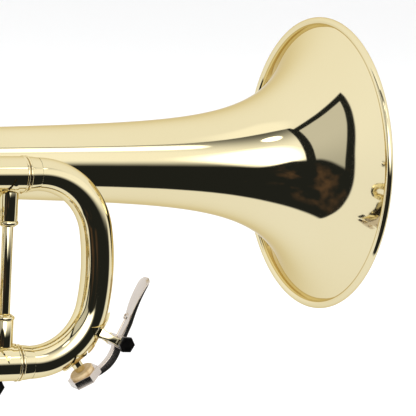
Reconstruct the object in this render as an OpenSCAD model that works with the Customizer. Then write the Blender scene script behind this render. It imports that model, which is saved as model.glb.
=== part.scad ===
// B-flat trumpet. Origin at the centre of the bell's mouth, +X out of the mouth,
// +Z towards the finger buttons, +Y towards the player's left.

/* [Bell] */
// Outer radius of the rim
rim_r = 61.5; // [60.5:0.5:62.5]
// Radius of the wire bead rolled into the rim
bead_r = 1.6; // [1.4:0.1:1.8]
// Length of the bell from its mouth back to the bow
bell_len = 350; // [345:1:356]
// Outer radius of the stem where it meets the bow
stem_r = 8.9; // [8.8:0.1:9]
// Radius gained by the stem per millimetre of length
stem_taper = 0.0263; // [0.024:0.0005:0.028]
// Radius that the flare adds at the mouth
flare_gain = 42.35; // [42:0.05:43]
// Length scale of the flare
flare_len = 351.5; // [340:0.5:360]
// Power of the flare's curve
flare_power = 16.35; // [16:0.05:17]
// Thickness of the bell sheet
sheet = 0.6; // [0.5:0.05:0.8]

/* [Tubing] */
// Bore radius of the cylindrical tubing
bore_r = 5.83; // [5.6:0.01:5.9]
// Outer radius of the bends
tube_r = 6.44; // [6.4:0.01:6.5]
// Outer radius of the inner slide tubes
inner_r = 6.25; // [6.2:0.01:6.28]
// Outer radius of the sleeves that the slides run in
sleeve_r = 6.95; // [6.9:0.05:7.1]
// Sideways distance from the bell's axis to the leadpipe
lead_y = 42; // [41.5:0.1:43]
// Drop from the leadpipe to the lower leg of the main slide
main_drop = 73.04; // [72:0.02:74]
// Distance of the bell tail's axis below the bell
tail_drop = 76; // [75.5:0.1:77]

/* [Main slide] */
// Distance from the mouth back to the ends of the bow's straight legs
bow_x = 147.6; // [146:0.1:149]
// Bend radius of the bow's two corners
corner_r = 27; // [26:0.1:28]

/* [Valves] */
// Distance from the mouth back to the third valve
valve_3_x = 238; // [237:0.5:239]
// Spacing of the valves
valve_gap = 28.5; // [28:0.1:29]
// Sideways distance from the bell's axis to the valves
valve_y = 23.5; // [23.4:0.1:24]
// Outer radius of a casing
casing_r = 10; // [9.8:0.1:10.2]
// Bore radius of a casing
cylinder_r = 8.5; // [8.4:0.05:8.6]
// Height of the casing's top above the bell's axis
casing_top = 16; // [15:0.5:17]
// Depth of the casing's bottom below the bell's axis
casing_bottom = 108; // [107.5:0.5:110]
// Travel of a valve
stroke = 16.8; // [15:0.1:17]

/* [Mouthpiece] */
// Distance from the mouth back to the receiver's open end
receiver_x = 480; // [475:1:485]
// Length of the mouthpiece
mouthpiece_len = 87; // [85:1:89]
// Radius of the mouthpiece's rim
mouth_rim_r = 13.6; // [13:0.1:14]

/* [Hidden] */
$fn = 96;

joint_gap = 0.05;      // solder film between parts of one assembly
slide_gap = 0.3;       // daylight between a slide's ferrule and its sleeve when pushed in
over = 1;              // how far a cutter runs past what it cuts
brass = "#e3cf95";
nickel = "#cfcbc2";

// Valves, numbered from the mouthpiece
function valve_x(n) = -valve_3_x - (3 - n) * valve_gap;
port_r = 5.5;
slide_bend = 12;       // bend radius of the first and second crooks
third_bend = 14;       // bend radius of the third crook
first_legs = [-36, -60];
second_legs = [-45, -69];
third_legs = [-54, -82];
knuckle_12_z = -74;
knuckle_23_z = -64;
first_reach = 22;      // lengths of the sleeves beyond the casings
second_reach = 14;
third_reach = 35;
ferrule_len = 5;
ferrule_r = 7.5;
third_crook_x = -182;  // centre of the third slide's bend

// ---- shared shapes ----

function bell_radius(s) =
    stem_r + stem_taper * (bell_len - s) + flare_gain / pow(1 + s / flare_len, flare_power);
function bell_slope(s) =
    -stem_taper - flare_gain * flare_power / flare_len / pow(1 + s / flare_len, flare_power + 1);

module along_x(x, y, z) {
    translate([x, y, z]) rotate([0, 90, 0]) children();
}

module rod_x(x0, x1, y, z, r) {
    along_x(x0, y, z) cylinder(r = r, h = x1 - x0);
}

module pipe_x(x0, x1, y, z, outer, inner) {
    difference() {
        rod_x(x0, x1, y, z, outer);
        rod_x(x0 - over, x1 + over, y, z, inner);
    }
}

// Rod along Y between two values of y
module rod_y(y0, y1, x, z, r) {
    translate([x, y1, z]) rotate([90, 0, 0]) cylinder(r = r, h = y1 - y0);
}

// Bend in the XZ plane; angles run from +X towards +Z
module bend(x, y, z, radius, outer, inner, from, to) {
    translate([x, y, z]) rotate([90, 0, 0]) rotate([0, 0, from])
        rotate_extrude(angle = to - from) translate([radius, 0]) difference() {
            circle(r = outer);
            if (inner > 0) circle(r = inner);
        }
}

// Ring in the XZ plane
module ring_y(x, y, z, outer, inner, width) {
    difference() {
        rod_y(y - width / 2, y + width / 2, x, z, outer);
        rod_y(y - width / 2 - over, y + width / 2 + over, x, z, inner);
    }
}

// Straight bar between two points of the XZ plane, centred on y
module bar_xz(a, b, y, width, thickness) {
    run = b - a;
    translate([a[0], y, a[1]]) rotate([0, -atan2(run[1], run[0]), 0])
        translate([0, -width / 2, -thickness / 2]) cube([norm(run), width, thickness]);
}

// Frame of one valve's slide: x runs out of the casing, turned about the valve's axis
module at_valve(n, turn = 0) {
    translate([valve_x(n), -valve_y, 0]) rotate([0, 0, turn]) children();
}

// Room that tubes leave for a casing
module casing_space() {
    translate([0, 0, -casing_bottom]) cylinder(r = casing_r + joint_gap, h = casing_bottom);
}

// ---- bell ----

module bell() {
    steps = 30;
    stations = [for (i = [0 : steps]) bell_len * pow(i / steps, 2)];
    outside = [for (s = stations) [bell_radius(s), -s]];
    inside = [for (i = [steps : -1 : 0])
        let (s = stations[i], m = bell_slope(s), q = sqrt(1 + m * m))
        [bell_radius(s) - sheet / q, -min(bell_len, max(0, s + sheet * m / q))]];
    color(brass) rotate([0, 90, 0]) rotate_extrude() difference() {
        polygon(concat(outside, inside));
        translate([rim_r - bead_r, -bead_x]) circle(r = bead_r + joint_gap);
    }
}

// The bead is sunk a little past the mouth plane and faced flat there
bead_face = 0.15;
bead_x = bead_r - bead_face;

module bell_rim_bead() {
    color(brass) rotate([0, 90, 0]) rotate_extrude() intersection() {
        translate([rim_r - bead_r, -bead_x]) circle(r = bead_r);
        translate([0, -2 * bead_r]) square([rim_r + over, 2 * bead_r]);
    }
}

bow_tube_r = 8.3;
bow_radius = norm([valve_y, tail_drop]) / 2;
bow_tilt = atan2(valve_y, tail_drop);

module bell_bow() {
    color(brass) translate([-bell_len - joint_gap, 0, 0]) rotate([-bow_tilt, 0, 0])
        bend(0, 0, -bow_radius, bow_radius, bow_tube_r, bow_tube_r - sheet, 90, 270);
}

tail_end_r = 6.6;
tail_start_r = 7.6;

module bell_tail() {
    length = bell_len + valve_x(1);
    color(brass) difference() {
        along_x(-bell_len, -valve_y, -tail_drop) difference() {
            cylinder(r1 = tail_start_r, r2 = tail_end_r, h = length);
            translate([0, 0, -over])
                cylinder(r1 = tail_start_r - sheet, r2 = bore_r, h = length + 2 * over);
        }
        at_valve(1) casing_space();
    }
}

// Rings over the joints at both ends of the bow
ring_wall = 0.8;
ring_half = 4;

module bell_ferrules() {
    bell_at_ring = bell_radius(bell_len - ring_half) + joint_gap;
    color(brass) {
        pipe_x(-bell_len, -bell_len + ring_half, 0, 0, bell_at_ring + ring_wall, bell_at_ring);
        pipe_x(-bell_len, -bell_len + ring_half, -valve_y, -tail_drop,
            tail_start_r + ring_wall, tail_start_r + joint_gap);
    }
}

// ---- leadpipe and main slide sleeves ----

lead_start_r = 5.1;
lead_wall = 0.6;
lead_end_x = -216.5;
lead_start_x = -receiver_x + 24;
sleeve_back_x = -222;
sleeve_front_x = -153.1;
venturi_r = 4.4;
lead_bore_r = bore_r - 0.1;

module leadpipe() {
    cone_end_x = sleeve_back_x - 4;
    color(brass) difference() {
        union() {
            along_x(lead_start_x, -lead_y, 0)
                cylinder(r1 = lead_start_r, r2 = inner_r, h = cone_end_x - lead_start_x);
            rod_x(cone_end_x, lead_end_x, -lead_y, 0, inner_r);
        }
        along_x(lead_start_x - over, -lead_y, 0)
            cylinder(r1 = venturi_r, r2 = lead_bore_r, h = cone_end_x - lead_start_x + over);
        rod_x(cone_end_x - over, lead_end_x + over, -lead_y, 0, lead_bore_r);
    }
}

receiver_len = 34;
receiver_bore_r = 4.95;
receiver_r = 6.7;
receiver_cone = 5;
receiver_rings = [[0, 2.4, 0.9], [5, 6.5, 0.5]];    // start, end and height of each ring

module mouthpiece_receiver() {
    front_x = -receiver_x + receiver_len;
    color(brass) difference() {
        union() {
            rod_x(-receiver_x, front_x, -lead_y, 0, receiver_r);
            for (ring = receiver_rings)
                rod_x(ring[0] - receiver_x, ring[1] - receiver_x, -lead_y, 0, receiver_r + ring[2]);
            along_x(front_x, -lead_y, 0)
                cylinder(r1 = receiver_r, r2 = lead_start_r + 0.5, h = receiver_cone);
        }
        rod_x(-receiver_x - over, lead_start_x, -lead_y, 0, receiver_bore_r);
        rod_x(lead_start_x - over, front_x + receiver_cone + over, -lead_y, 0, lead_start_r + 0.2);
    }
}

sleeve_rings = [[sleeve_back_x, 3, 0.5], [sleeve_front_x - 0.9, 0.9, 0.3]];    // start, width and height

module main_sleeve(z) {
    pipe_x(sleeve_back_x, sleeve_front_x, -lead_y, z, sleeve_r, inner_r + joint_gap);
    for (ring = sleeve_rings)
        pipe_x(ring[0], ring[0] + ring[1], -lead_y, z, sleeve_r + ring[2], sleeve_r - 0.1);
}

module upper_slide_sleeve() {
    color(brass) main_sleeve(0);
}

module lower_slide_sleeve() {
    color(brass) main_sleeve(-main_drop);
}

elbow_r = 12;
elbow_x = valve_x(3) + elbow_r;

module third_valve_elbow() {
    color(brass) difference() {
        union() {
            pipe_x(elbow_x, sleeve_back_x - joint_gap, -lead_y, -main_drop, tube_r, bore_r);
            translate([elbow_x, elbow_r - lead_y, -main_drop]) rotate([0, 0, 180])
                rotate_extrude(angle = 90) translate([elbow_r, 0]) difference() {
                    circle(r = tube_r);
                    circle(r = bore_r);
                }
        }
        at_valve(3) casing_space();
    }
}

brace_x = -158.9;
brace_rod_r = 2.15;
socket_r = 3.65;
socket_len = 12.5;
socket_rim = 1.2;
foot_w = 7.3;
foot_thick = 0.9;
foot_depth = 20;

// Rod between the sleeves, in a socket with a square foot at each end
module slide_brace() {
    color(brass) difference() {
        union() {
            translate([brace_x, -lead_y, -main_drop]) cylinder(r = brace_rod_r, h = main_drop);
            for (side = [0, 1])
                translate([brace_x, -lead_y, -side * main_drop]) mirror([0, 0, 1 - side]) {
                    cylinder(r = socket_r, h = sleeve_r + socket_len);
                    translate([0, 0, sleeve_r + socket_len - 2]) cylinder(r = socket_r + 0.5, h = socket_rim);
                    intersection() {
                        rotate([0, 90, 0]) cylinder(r = sleeve_r + foot_thick, h = foot_depth, center = true);
                        rotate([0, 0, 45]) translate([-foot_w / 2, -foot_w / 2, 0])
                            cube([foot_w, foot_w, foot_depth]);
                    }
                }
        }
        for (z = [0, -main_drop])
            rod_x(brace_x - foot_depth, brace_x + foot_depth, -lead_y, z, sleeve_r + joint_gap);
    }
}

// ---- main slide ----

main_leg_z = [0, -main_drop];
corner_z = [-corner_r, -main_drop + corner_r];

// The bow's path: corner, short straight front, corner
module bow_solid(r, inner) {
    bend(-bow_x, -lead_y, corner_z[0], corner_r, r, inner, 0, 90);
    bend(-bow_x, -lead_y, corner_z[1], corner_r, r, inner, -90, 0);
    translate([corner_r - bow_x, -lead_y, corner_z[1]]) difference() {
        cylinder(r = r, h = corner_z[0] - corner_z[1]);
        translate([0, 0, -over]) cylinder(r = inner, h = main_drop);
    }
}

nipple_angle = -54;
nipple_bore_r = 1.5;

// Frame of a water key on a bend: x points outwards from the bend's centre at an angle
module on_bend(x, y, z, angle) {
    translate([x, y, z]) rotate([0, -angle, 0]) children();
}

module at_main_corner(angle) {
    on_bend(-bow_x, -lead_y, corner_z[1], angle) children();
}

module main_slide_bow() {
    color(brass) difference() {
        bow_solid(tube_r, bore_r);
        at_main_corner(nipple_angle) along_x(corner_r, 0, 0) cylinder(r = nipple_bore_r, h = 12);
    }
}

main_tube_back_x = -213;
main_ferrule_x = sleeve_front_x + slide_gap;
main_ring_w = 0.9;

module main_slide_tubes() {
    color(brass) for (z = main_leg_z) {
        pipe_x(main_tube_back_x, -bow_x - joint_gap, -lead_y, z, inner_r, bore_r);
        pipe_x(main_ferrule_x, -bow_x - joint_gap, -lead_y, z, sleeve_r - 0.1, inner_r - 0.1);
        pipe_x(main_ferrule_x, main_ferrule_x + main_ring_w, -lead_y, z, sleeve_r + 0.3, inner_r - 0.1);
    }
}

// ---- water keys ----

barrel_r = 2.5;
screw_r = 1.3;
ear_in = 5.0;          // distance of the ears' inner faces from the middle
ear_w = 1.8;
ear_r = 2.4;
ear_bar = 3;
saddle_foot = [3.4, 8];
nipple_r = 2.1;
nipple_h = 4.4;
nipple_foot = [4.4, 0.8];
hex_r = 3.4;
hex_h = 2.2;
cork_r = 4.7;
cork_h = 4;
cup_wall = 1.3;
cup_lip = 1.1;         // distance of the cup's open edge from the nipple's face
arm_w = 3.6;
arm_thick = 2;
paddle_w = 8;
paddle_thick = 1.2;

// Foot, nipple and the two ears, around the bend's centre
module key_seat(bend_r, nipple_at, hinge_at, hinge_out) {
    surface = bend_r + tube_r;
    difference() {
        union() {
            rotate([0, -nipple_at, 0]) {
                rod_x(bend_r, surface + nipple_foot[1], 0, 0, nipple_foot[0]);
                rod_x(bend_r, surface + nipple_h, 0, 0, nipple_r);
            }
            rotate([0, -hinge_at, 0]) {
                translate([surface - 2, -ear_in - ear_w, -saddle_foot[1] / 2])
                    cube([saddle_foot[0], 2 * (ear_in + ear_w), saddle_foot[1]]);
                for (side = [-1, 1]) {
                    ear_y = side * (ear_in + ear_w / 2);
                    translate([surface, ear_y - ear_w / 2, -ear_bar / 2]) cube([hinge_out, ear_w, ear_bar]);
                    rod_y(ear_y - ear_w / 2, ear_y + ear_w / 2, surface + hinge_out, 0, ear_r);
                }
            }
        }
        bend(0, 0, 0, bend_r, tube_r + joint_gap, 0, nipple_at - 40, hinge_at + 40);
        rotate([0, -nipple_at, 0]) rod_x(bend_r, surface + nipple_h + over, 0, 0, nipple_bore_r);
        rotate([0, -hinge_at, 0]) translate([surface + hinge_out, 0, 0])
            rod_y(-ear_in - ear_w - over, ear_in + ear_w + over, 0, 0, screw_r + joint_gap);
    }
}

// Hinge screw with a six-sided head on the player's right
module key_screw(bend_r, hinge_at, hinge_out) {
    rotate([0, -hinge_at, 0]) {
        hinge = bend_r + tube_r + hinge_out;
        rod_y(-ear_in - ear_w - joint_gap, ear_in + ear_w + 0.8, hinge, 0, screw_r);
        translate([hinge, -ear_in - ear_w - joint_gap, 0]) rotate([90, 0, 0])
            cylinder(r = hex_r, h = hex_h, $fn = 6);
    }
}

key_rest = 0.15;       // the cork stands this far off the nipple

// Lever: barrel on the screw, curved arm to a six-sided cup, flat paddle
module key_lever(bend_r, nipple_at, hinge_at, hinge_out, paddle_len, paddle_at) {
    surface = bend_r + tube_r;
    seat = surface + nipple_h + key_rest;
    hinge_d = surface + hinge_out;
    hinge = hinge_d * [cos(hinge_at), sin(hinge_at)];
    cup_d = seat + cork_h + 0.6;
    heel_at = nipple_at + 12;
    cup = cup_d * [cos(nipple_at), sin(nipple_at)];
    heel = (cup_d + 1.2) * [cos(heel_at), sin(heel_at)];
    tip = hinge + paddle_len * [cos(paddle_at), sin(paddle_at)];
    knee = hinge + 0.3 * paddle_len * [cos(paddle_at), sin(paddle_at)];
    difference() {
        union() {
            rod_y(-1.8, ear_in - 0.3, hinge[0], hinge[1], barrel_r);
            rotate([0, -nipple_at, 0]) along_x(seat + cup_lip, 0, 0)
                cylinder(r = cork_r + cup_wall, h = cork_h + 0.8, $fn = 6);
            bar_xz(cup, heel, 0, arm_w, arm_thick);
            bar_xz(heel, hinge, 0, arm_w, arm_thick);
            bar_xz(hinge, knee, 0, arm_w, arm_thick);
            bar_xz(knee, tip, 0, paddle_w, paddle_thick);
            rod_y(-paddle_w / 2, paddle_w / 2, knee[0], knee[1], arm_thick / 2);
        }
        rod_y(-ear_in, ear_in, hinge[0], hinge[1], screw_r + joint_gap);
        rotate([0, -nipple_at, 0])
            rod_x(seat - over, seat + cork_h + joint_gap, 0, 0, cork_r + joint_gap);
    }
}

module key_cork(bend_r, nipple_at) {
    seat = bend_r + tube_r + nipple_h + key_rest;
    rotate([0, -nipple_at, 0]) rod_x(seat, seat + cork_h, 0, 0, cork_r);
}

main_hinge_angle = -28.2;
main_hinge_out = 8.7;
paddle_angle = 67.7;
main_paddle = 27.7;

module main_water_key_seat() {
    color(brass) at_main_corner(0)
        key_seat(corner_r, nipple_angle, main_hinge_angle, main_hinge_out);
}

module main_water_key_screw() {
    color("#3a3630") at_main_corner(0) key_screw(corner_r, main_hinge_angle, main_hinge_out);
}

coil_r = 2.1;
wire_r = 0.35;
coil_turns = 3;
coil_pitch = 0.85;
coil_start = 2.4;

module main_water_key_spring() {
    color(nickel) at_main_corner(main_hinge_angle)
        for (i = [0 : coil_turns - 1])
            translate([corner_r + tube_r + main_hinge_out, -coil_start - coil_pitch * i, 0])
                rotate([90, 0, 0]) rotate_extrude() translate([coil_r, 0]) circle(r = wire_r);
}

module main_water_key_lever() {
    color(nickel) at_main_corner(0) key_lever(corner_r, nipple_angle, main_hinge_angle,
        main_hinge_out, main_paddle, paddle_angle);
}

module main_water_key_cork() {
    color("#c9a36a") at_main_corner(0) key_cork(corner_r, nipple_angle);
}

third_nipple_angle = -74;
third_hinge_angle = -33;
third_hinge_out = 9.5;
third_paddle = 18;

module at_third_bend() {
    translate([third_crook_x, -valve_y, mean(third_legs)]) children();
}

module third_water_key_seat() {
    color(brass) at_third_bend()
        key_seat(third_bend, third_nipple_angle, third_hinge_angle, third_hinge_out);
}

module third_water_key_screw() {
    color("#3a3630") at_third_bend() key_screw(third_bend, third_hinge_angle, third_hinge_out);
}

module third_water_key_lever() {
    color(nickel) at_third_bend() key_lever(third_bend, third_nipple_angle, third_hinge_angle,
        third_hinge_out, third_paddle, paddle_angle);
}

module third_water_key_cork() {
    color("#c9a36a") at_third_bend() key_cork(third_bend, third_nipple_angle);
}

// ---- valve slides: legs is [upper z, lower z], x runs out of the casing ----

function mean(pair) = (pair[0] + pair[1]) / 2;

sleeve_end_ring = 2;

module slide_sleeves(legs, reach) {
    end = casing_r + reach;
    difference() {
        for (z = legs) {
            pipe_x(0, end, 0, z, sleeve_r - 0.1, inner_r + joint_gap);
            pipe_x(end - sleeve_end_ring, end, 0, z, sleeve_r + 0.25, sleeve_r - 0.2);
        }
        casing_space();
    }
}

ring_w = 1.2;

module slide_tubes(legs, reach, crook_x) {
    for (z = legs) {
        start = casing_r + 1.5;
        ferrule_x = casing_r + reach + slide_gap;
        pipe_x(start, crook_x - joint_gap, 0, z, inner_r, bore_r);
        pipe_x(ferrule_x, crook_x - joint_gap, 0, z, ferrule_r - 0.4, inner_r - 0.1);
        for (ring_x = [ferrule_x, crook_x - joint_gap - ring_w])
            pipe_x(ring_x, ring_x + ring_w, 0, z, ferrule_r, inner_r - 0.1);
    }
}

module slide_crook(legs, radius, crook_x) {
    bend(crook_x, 0, mean(legs), radius, tube_r, bore_r, -90, 90);
}

first_crook_x = casing_r + first_reach + slide_gap + ferrule_len;
second_crook_x = casing_r + second_reach + slide_gap + ferrule_len;
third_local_x = third_crook_x + valve_3_x;

module first_slide_sleeves() {
    color(brass) at_valve(1, 180) slide_sleeves(first_legs, first_reach);
}

module first_slide_tubes() {
    color(brass) at_valve(1, 180) slide_tubes(first_legs, first_reach, first_crook_x);
}

module first_slide_crook() {
    color(brass) at_valve(1, 180) slide_crook(first_legs, slide_bend, first_crook_x);
}

module second_slide_sleeves() {
    color(brass) at_valve(2, -90) slide_sleeves(second_legs, second_reach);
}

module second_slide_tubes() {
    color(brass) at_valve(2, -90) slide_tubes(second_legs, second_reach, second_crook_x);
}

module second_slide_crook() {
    color(brass) at_valve(2, -90) slide_crook(second_legs, slide_bend, second_crook_x);
}

guide_x = -198.9;      // rear face of the plate that guides the stop rod
guide_w = 2;
guide_depth = 5;
stop_rod_r = 1.2;

module third_slide_sleeves() {
    color(brass) {
        at_valve(3) slide_sleeves(third_legs, third_reach);
        difference() {
            translate([guide_x, -valve_y - guide_depth / 2, third_legs[1]])
                cube([guide_w, guide_depth, third_legs[0] - third_legs[1]]);
            for (hole = [[third_legs[0], sleeve_r - 0.2], [third_legs[1], sleeve_r - 0.2],
                    [mean(third_legs), stop_rod_r + joint_gap]])
                rod_x(guide_x - over, guide_x + guide_w + over, -valve_y, hole[0], hole[1]);
        }
    }
}

module third_slide_tubes() {
    color(brass) at_valve(3) slide_tubes(third_legs, third_reach, third_local_x);
}

module third_slide_crook() {
    color(brass) difference() {
        at_valve(3) slide_crook(third_legs, third_bend, third_local_x);
        at_third_bend() rotate([0, -third_nipple_angle, 0])
            rod_x(third_bend, third_bend + 12, 0, 0, nipple_bore_r);
    }
}

third_pull = 18;
stop_nut_r = 2.6;
stop_nut_len = 4;

module stop_rod() {
    nut_x = guide_x - third_pull - slide_gap;
    color(nickel) difference() {
        union() {
            rod_x(nut_x - over, third_crook_x + third_bend, -valve_y, mean(third_legs), stop_rod_r);
            rod_x(nut_x - stop_nut_len, nut_x, -valve_y, mean(third_legs), stop_nut_r);
        }
        bend(third_crook_x, -valve_y, mean(third_legs), third_bend, tube_r + joint_gap, 0, -90, 90);
    }
}

finger_ring_r = 12.4;
finger_hole_r = 10.2;
finger_ring_w = 4.5;
finger_ring_x = -187.5;
ring_foot_len = 8;
foot_sink = 2;         // how far a foot's block reaches down before the tube is cut out of it
foot_rise = 1.4;

module finger_ring() {
    base = third_legs[0] + ferrule_r + joint_gap;
    color(brass) difference() {
        union() {
            ring_y(finger_ring_x, -valve_y, base + 0.8 + finger_ring_r,
                finger_ring_r, finger_hole_r, finger_ring_w);
            translate([finger_ring_x - ring_foot_len / 2, -valve_y - finger_ring_w / 2, base - foot_sink])
                cube([ring_foot_len, finger_ring_w, foot_sink + foot_rise]);
        }
        rod_x(finger_ring_x - ring_foot_len, finger_ring_x + ring_foot_len, -valve_y, third_legs[0],
            ferrule_r + joint_gap);
    }
}

saddle_r = 9.5;
saddle_wall = 1.5;
saddle_w = 10;
saddle_arm = 5;
saddle_foot_w = 4;
saddle_foot_len = 6;

// Open cradle for the left thumb, on the first slide's upper leg
module thumb_saddle() {
    x = valve_x(1) - first_crook_x + 2;
    base = first_legs[0] + ferrule_r + joint_gap;
    centre_z = base + 0.8 + saddle_r;
    color(brass) difference() {
        union() {
            difference() {
                union() {
                    ring_y(x, -valve_y, centre_z, saddle_r, saddle_r - saddle_wall, saddle_w);
                    for (side = [-1, 1])
                        translate([x + side * (saddle_r - saddle_wall / 2) - saddle_wall / 2,
                            -valve_y - saddle_w / 2, centre_z])
                            cube([saddle_wall, saddle_w, saddle_arm]);
                }
                translate([x - saddle_r + saddle_wall, -valve_y - saddle_w, centre_z])
                    cube([2 * (saddle_r - saddle_wall), 2 * saddle_w, saddle_r + over]);
            }
            translate([x - saddle_foot_len / 2, -valve_y - saddle_foot_w / 2, base - foot_sink])
                cube([saddle_foot_len, saddle_foot_w, foot_sink + foot_rise]);
        }
        rod_x(x - saddle_r, x + saddle_r, -valve_y, first_legs[0], ferrule_r + joint_gap);
    }
}

// ---- valve section ----

// Directions about the valve's axis and heights of each casing's ports
ports = [
    [[0, knuckle_12_z], [180, -tail_drop], [180, first_legs[0]], [180, first_legs[1]]],
    [[0, knuckle_23_z], [180, knuckle_12_z], [-90, second_legs[0]], [-90, second_legs[1]]],
    [[-90, -main_drop], [180, knuckle_23_z], [0, third_legs[0]], [0, third_legs[1]]]
];

casing_ring = [1.5, 0.6];    // width and height of the rings next to the caps

module valve_casing(n) {
    color(brass) at_valve(n) difference() {
        union() {
            translate([0, 0, -casing_bottom]) cylinder(r = casing_r, h = casing_bottom + casing_top);
            for (z = [cap_skirt + casing_ring[0] - casing_bottom,
                    casing_top - cap_skirt - 2 * casing_ring[0]])
                translate([0, 0, z]) cylinder(r = casing_r + casing_ring[1], h = casing_ring[0]);
        }
        translate([0, 0, -casing_bottom - over])
            cylinder(r = cylinder_r, h = casing_bottom + casing_top + 2 * over);
        for (port = ports[n - 1]) rotate([0, 0, port[0]]) rod_x(0, casing_r + 2 * over, 0, port[1], port_r);
    }
}

module valve_casing_1() { valve_casing(1); }
module valve_casing_2() { valve_casing(2); }
module valve_casing_3() { valve_casing(3); }

module valve_knuckles() {
    color(brass) difference() {
        for (link = [[1, knuckle_12_z], [2, knuckle_23_z]])
            pipe_x(valve_x(link[0]), valve_x(link[0] + 1), -valve_y, link[1], tube_r, bore_r);
        for (n = [1 : 3]) at_valve(n) casing_space();
    }
}

cap_r = 11.1;
cap_plate = 4;
cap_skirt = 7;
grip = [1.5, 4, 0.5];    // start, width and height of a cap's knurled band
top_boss = [6, 4.6, 1.5];    // lower and upper radius and height
bottom_boss = [7, 4, 2.5];
drain_r = 1.6;

// Cap over a casing's end at z = 0, with its plate towards +Z
module cap(boss, hole_r) {
    difference() {
        union() {
            translate([0, 0, -cap_skirt]) cylinder(r = cap_r, h = cap_skirt + cap_plate);
            translate([0, 0, grip[0] - cap_skirt]) cylinder(r = cap_r + grip[2], h = grip[1]);
            translate([0, 0, cap_plate]) cylinder(r1 = boss[0], r2 = boss[1], h = boss[2]);
        }
        translate([0, 0, -cap_skirt - over]) cylinder(r = casing_r + joint_gap, h = cap_skirt + over);
        translate([0, 0, -over]) cylinder(r = hole_r, h = cap_plate + boss[2] + 2 * over);
    }
}

module top_caps() {
    color(brass) for (n = [1 : 3])
        at_valve(n) translate([0, 0, casing_top]) cap(top_boss, stem_r_valve + 0.3);
}

module bottom_caps() {
    color(brass) for (n = [1 : 3])
        at_valve(n) translate([0, 0, -casing_bottom]) mirror([0, 0, 1]) cap(bottom_boss, drain_r);
}

stem_r_valve = 2.25;
piston_r = cylinder_r - 0.04;
piston_top = -15;
piston_bottom = -90;
barrel_top = casing_top - 2;
barrel_in_r = 6.9;
barrel_out_r = 8.1;
slot_w = 3.4;
passage_r = 3.7;
passage_end = 3;       // how far a passage runs past the port positions it joins
port_reach = 8;        // distance of those positions from the valve's axis
barrel_roof = 2;

// Round passage through a piston between two port positions
module passage(a, b) {
    p = [port_reach * cos(a[0]), port_reach * sin(a[0]), a[1]];
    q = [port_reach * cos(b[0]), port_reach * sin(b[0]), b[1]];
    run = (q - p) / norm(q - p);
    translate(p - passage_end * run) rotate([0, acos(run[2]), atan2(run[1], run[0])])
        cylinder(r = passage_r, h = norm(q - p) + 2 * passage_end);
}

function pressed(port) = [port[0], port[1] + stroke];

// Ported body with a slotted spring barrel on top
module piston(n) {
    p = ports[n - 1];
    color(nickel) at_valve(n) difference() {
        union() {
            translate([0, 0, piston_bottom]) cylinder(r = piston_r, h = piston_top - piston_bottom);
            translate([0, 0, piston_top]) cylinder(r = barrel_out_r, h = barrel_top - piston_top);
        }
        translate([0, 0, piston_top]) cylinder(r = barrel_in_r, h = barrel_top - piston_top - barrel_roof);
        translate([-slot_w / 2, -barrel_out_r - over, piston_top + 1])
            cube([slot_w, 2 * (barrel_out_r + over), barrel_top - piston_top - 2 * barrel_roof]);
        translate([0, 0, barrel_top - barrel_roof - over])
            cylinder(r = stem_r_valve + joint_gap, h = barrel_roof + 2 * over);
        passage(p[0], p[1]);
        passage(pressed(p[0]), pressed(p[2]));
        passage(pressed(p[3]), pressed(p[1]));
    }
}

module piston_1() { piston(1); }
module piston_2() { piston(2); }
module piston_3() { piston(3); }

guide_z = piston_top + 1.2;
guide_h = 1.6;
guide_ease = 0.3;

// Small discs fixed across the barrels that the springs stand on
module valve_guides() {
    reach = cylinder_r - 0.1;
    color(nickel) for (n = [1 : 3]) at_valve(n) translate([0, 0, guide_z]) {
        cylinder(r = barrel_in_r - guide_ease, h = guide_h);
        translate([guide_ease - slot_w / 2, -reach, 0])
            cube([slot_w - 2 * guide_ease, 2 * reach, guide_h]);
    }
}

spring_bottom = guide_z + guide_h + joint_gap;
spring_top = barrel_top - barrel_roof - joint_gap;
spring_r = 5.4;
spring_wire = 0.45;
spring_turns = 6;
spring_sides = 8;
spring_steps = 96;

// Coil spring: rings of points around a helix, joined by quads and closed by two end faces
module valve_spring(n) {
    rise = spring_top - spring_bottom - 2 * spring_wire;
    points = [for (i = [0 : spring_steps]) for (k = [0 : spring_sides - 1])
        let (a = 360 * spring_turns * i / spring_steps, b = 360 * k / spring_sides,
            r = spring_r + spring_wire * cos(b))
        [r * cos(a), r * sin(a), spring_bottom + spring_wire + rise * i / spring_steps
            + spring_wire * sin(b)]];
    faces = concat(
        [[for (k = [0 : spring_sides - 1]) k]],
        [for (i = [0 : spring_steps - 1]) for (k = [0 : spring_sides - 1])
            let (m = (k + 1) % spring_sides, row = i * spring_sides)
            [row + k, row + spring_sides + k, row + spring_sides + m, row + m]],
        [[for (k = [spring_sides - 1 : -1 : 0]) spring_steps * spring_sides + k]]
    );
    color(nickel) at_valve(n) polyhedron(points, faces, convexity = 10);
}

module valve_spring_1() { valve_spring(1); }
module valve_spring_2() { valve_spring(2); }
module valve_spring_3() { valve_spring(3); }

felt_h = 2.4;
felt_r = 5;
felt_bottom = casing_top + cap_plate + top_boss[2] + stroke + slide_gap;
button_z = felt_bottom + felt_h + joint_gap;
button_r = 7.6;
button_h = 3.6;
dish_h = 1.6;          // height of the button's flared lower part
pearl_depth = 1.2;
stem_in = 1.4;         // how far a stem reaches into its button
collar = [4.2, 1];     // radius and height of the stem's collar on the barrel

module valve_stem(n) {
    bottom = barrel_top - barrel_roof;
    color(nickel) at_valve(n) {
        translate([0, 0, bottom]) cylinder(r = stem_r_valve, h = button_z + stem_in - bottom);
        translate([0, 0, barrel_top + joint_gap]) cylinder(r = collar[0], h = collar[1]);
    }
}

module valve_stem_1() { valve_stem(1); }
module valve_stem_2() { valve_stem(2); }
module valve_stem_3() { valve_stem(3); }

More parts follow.
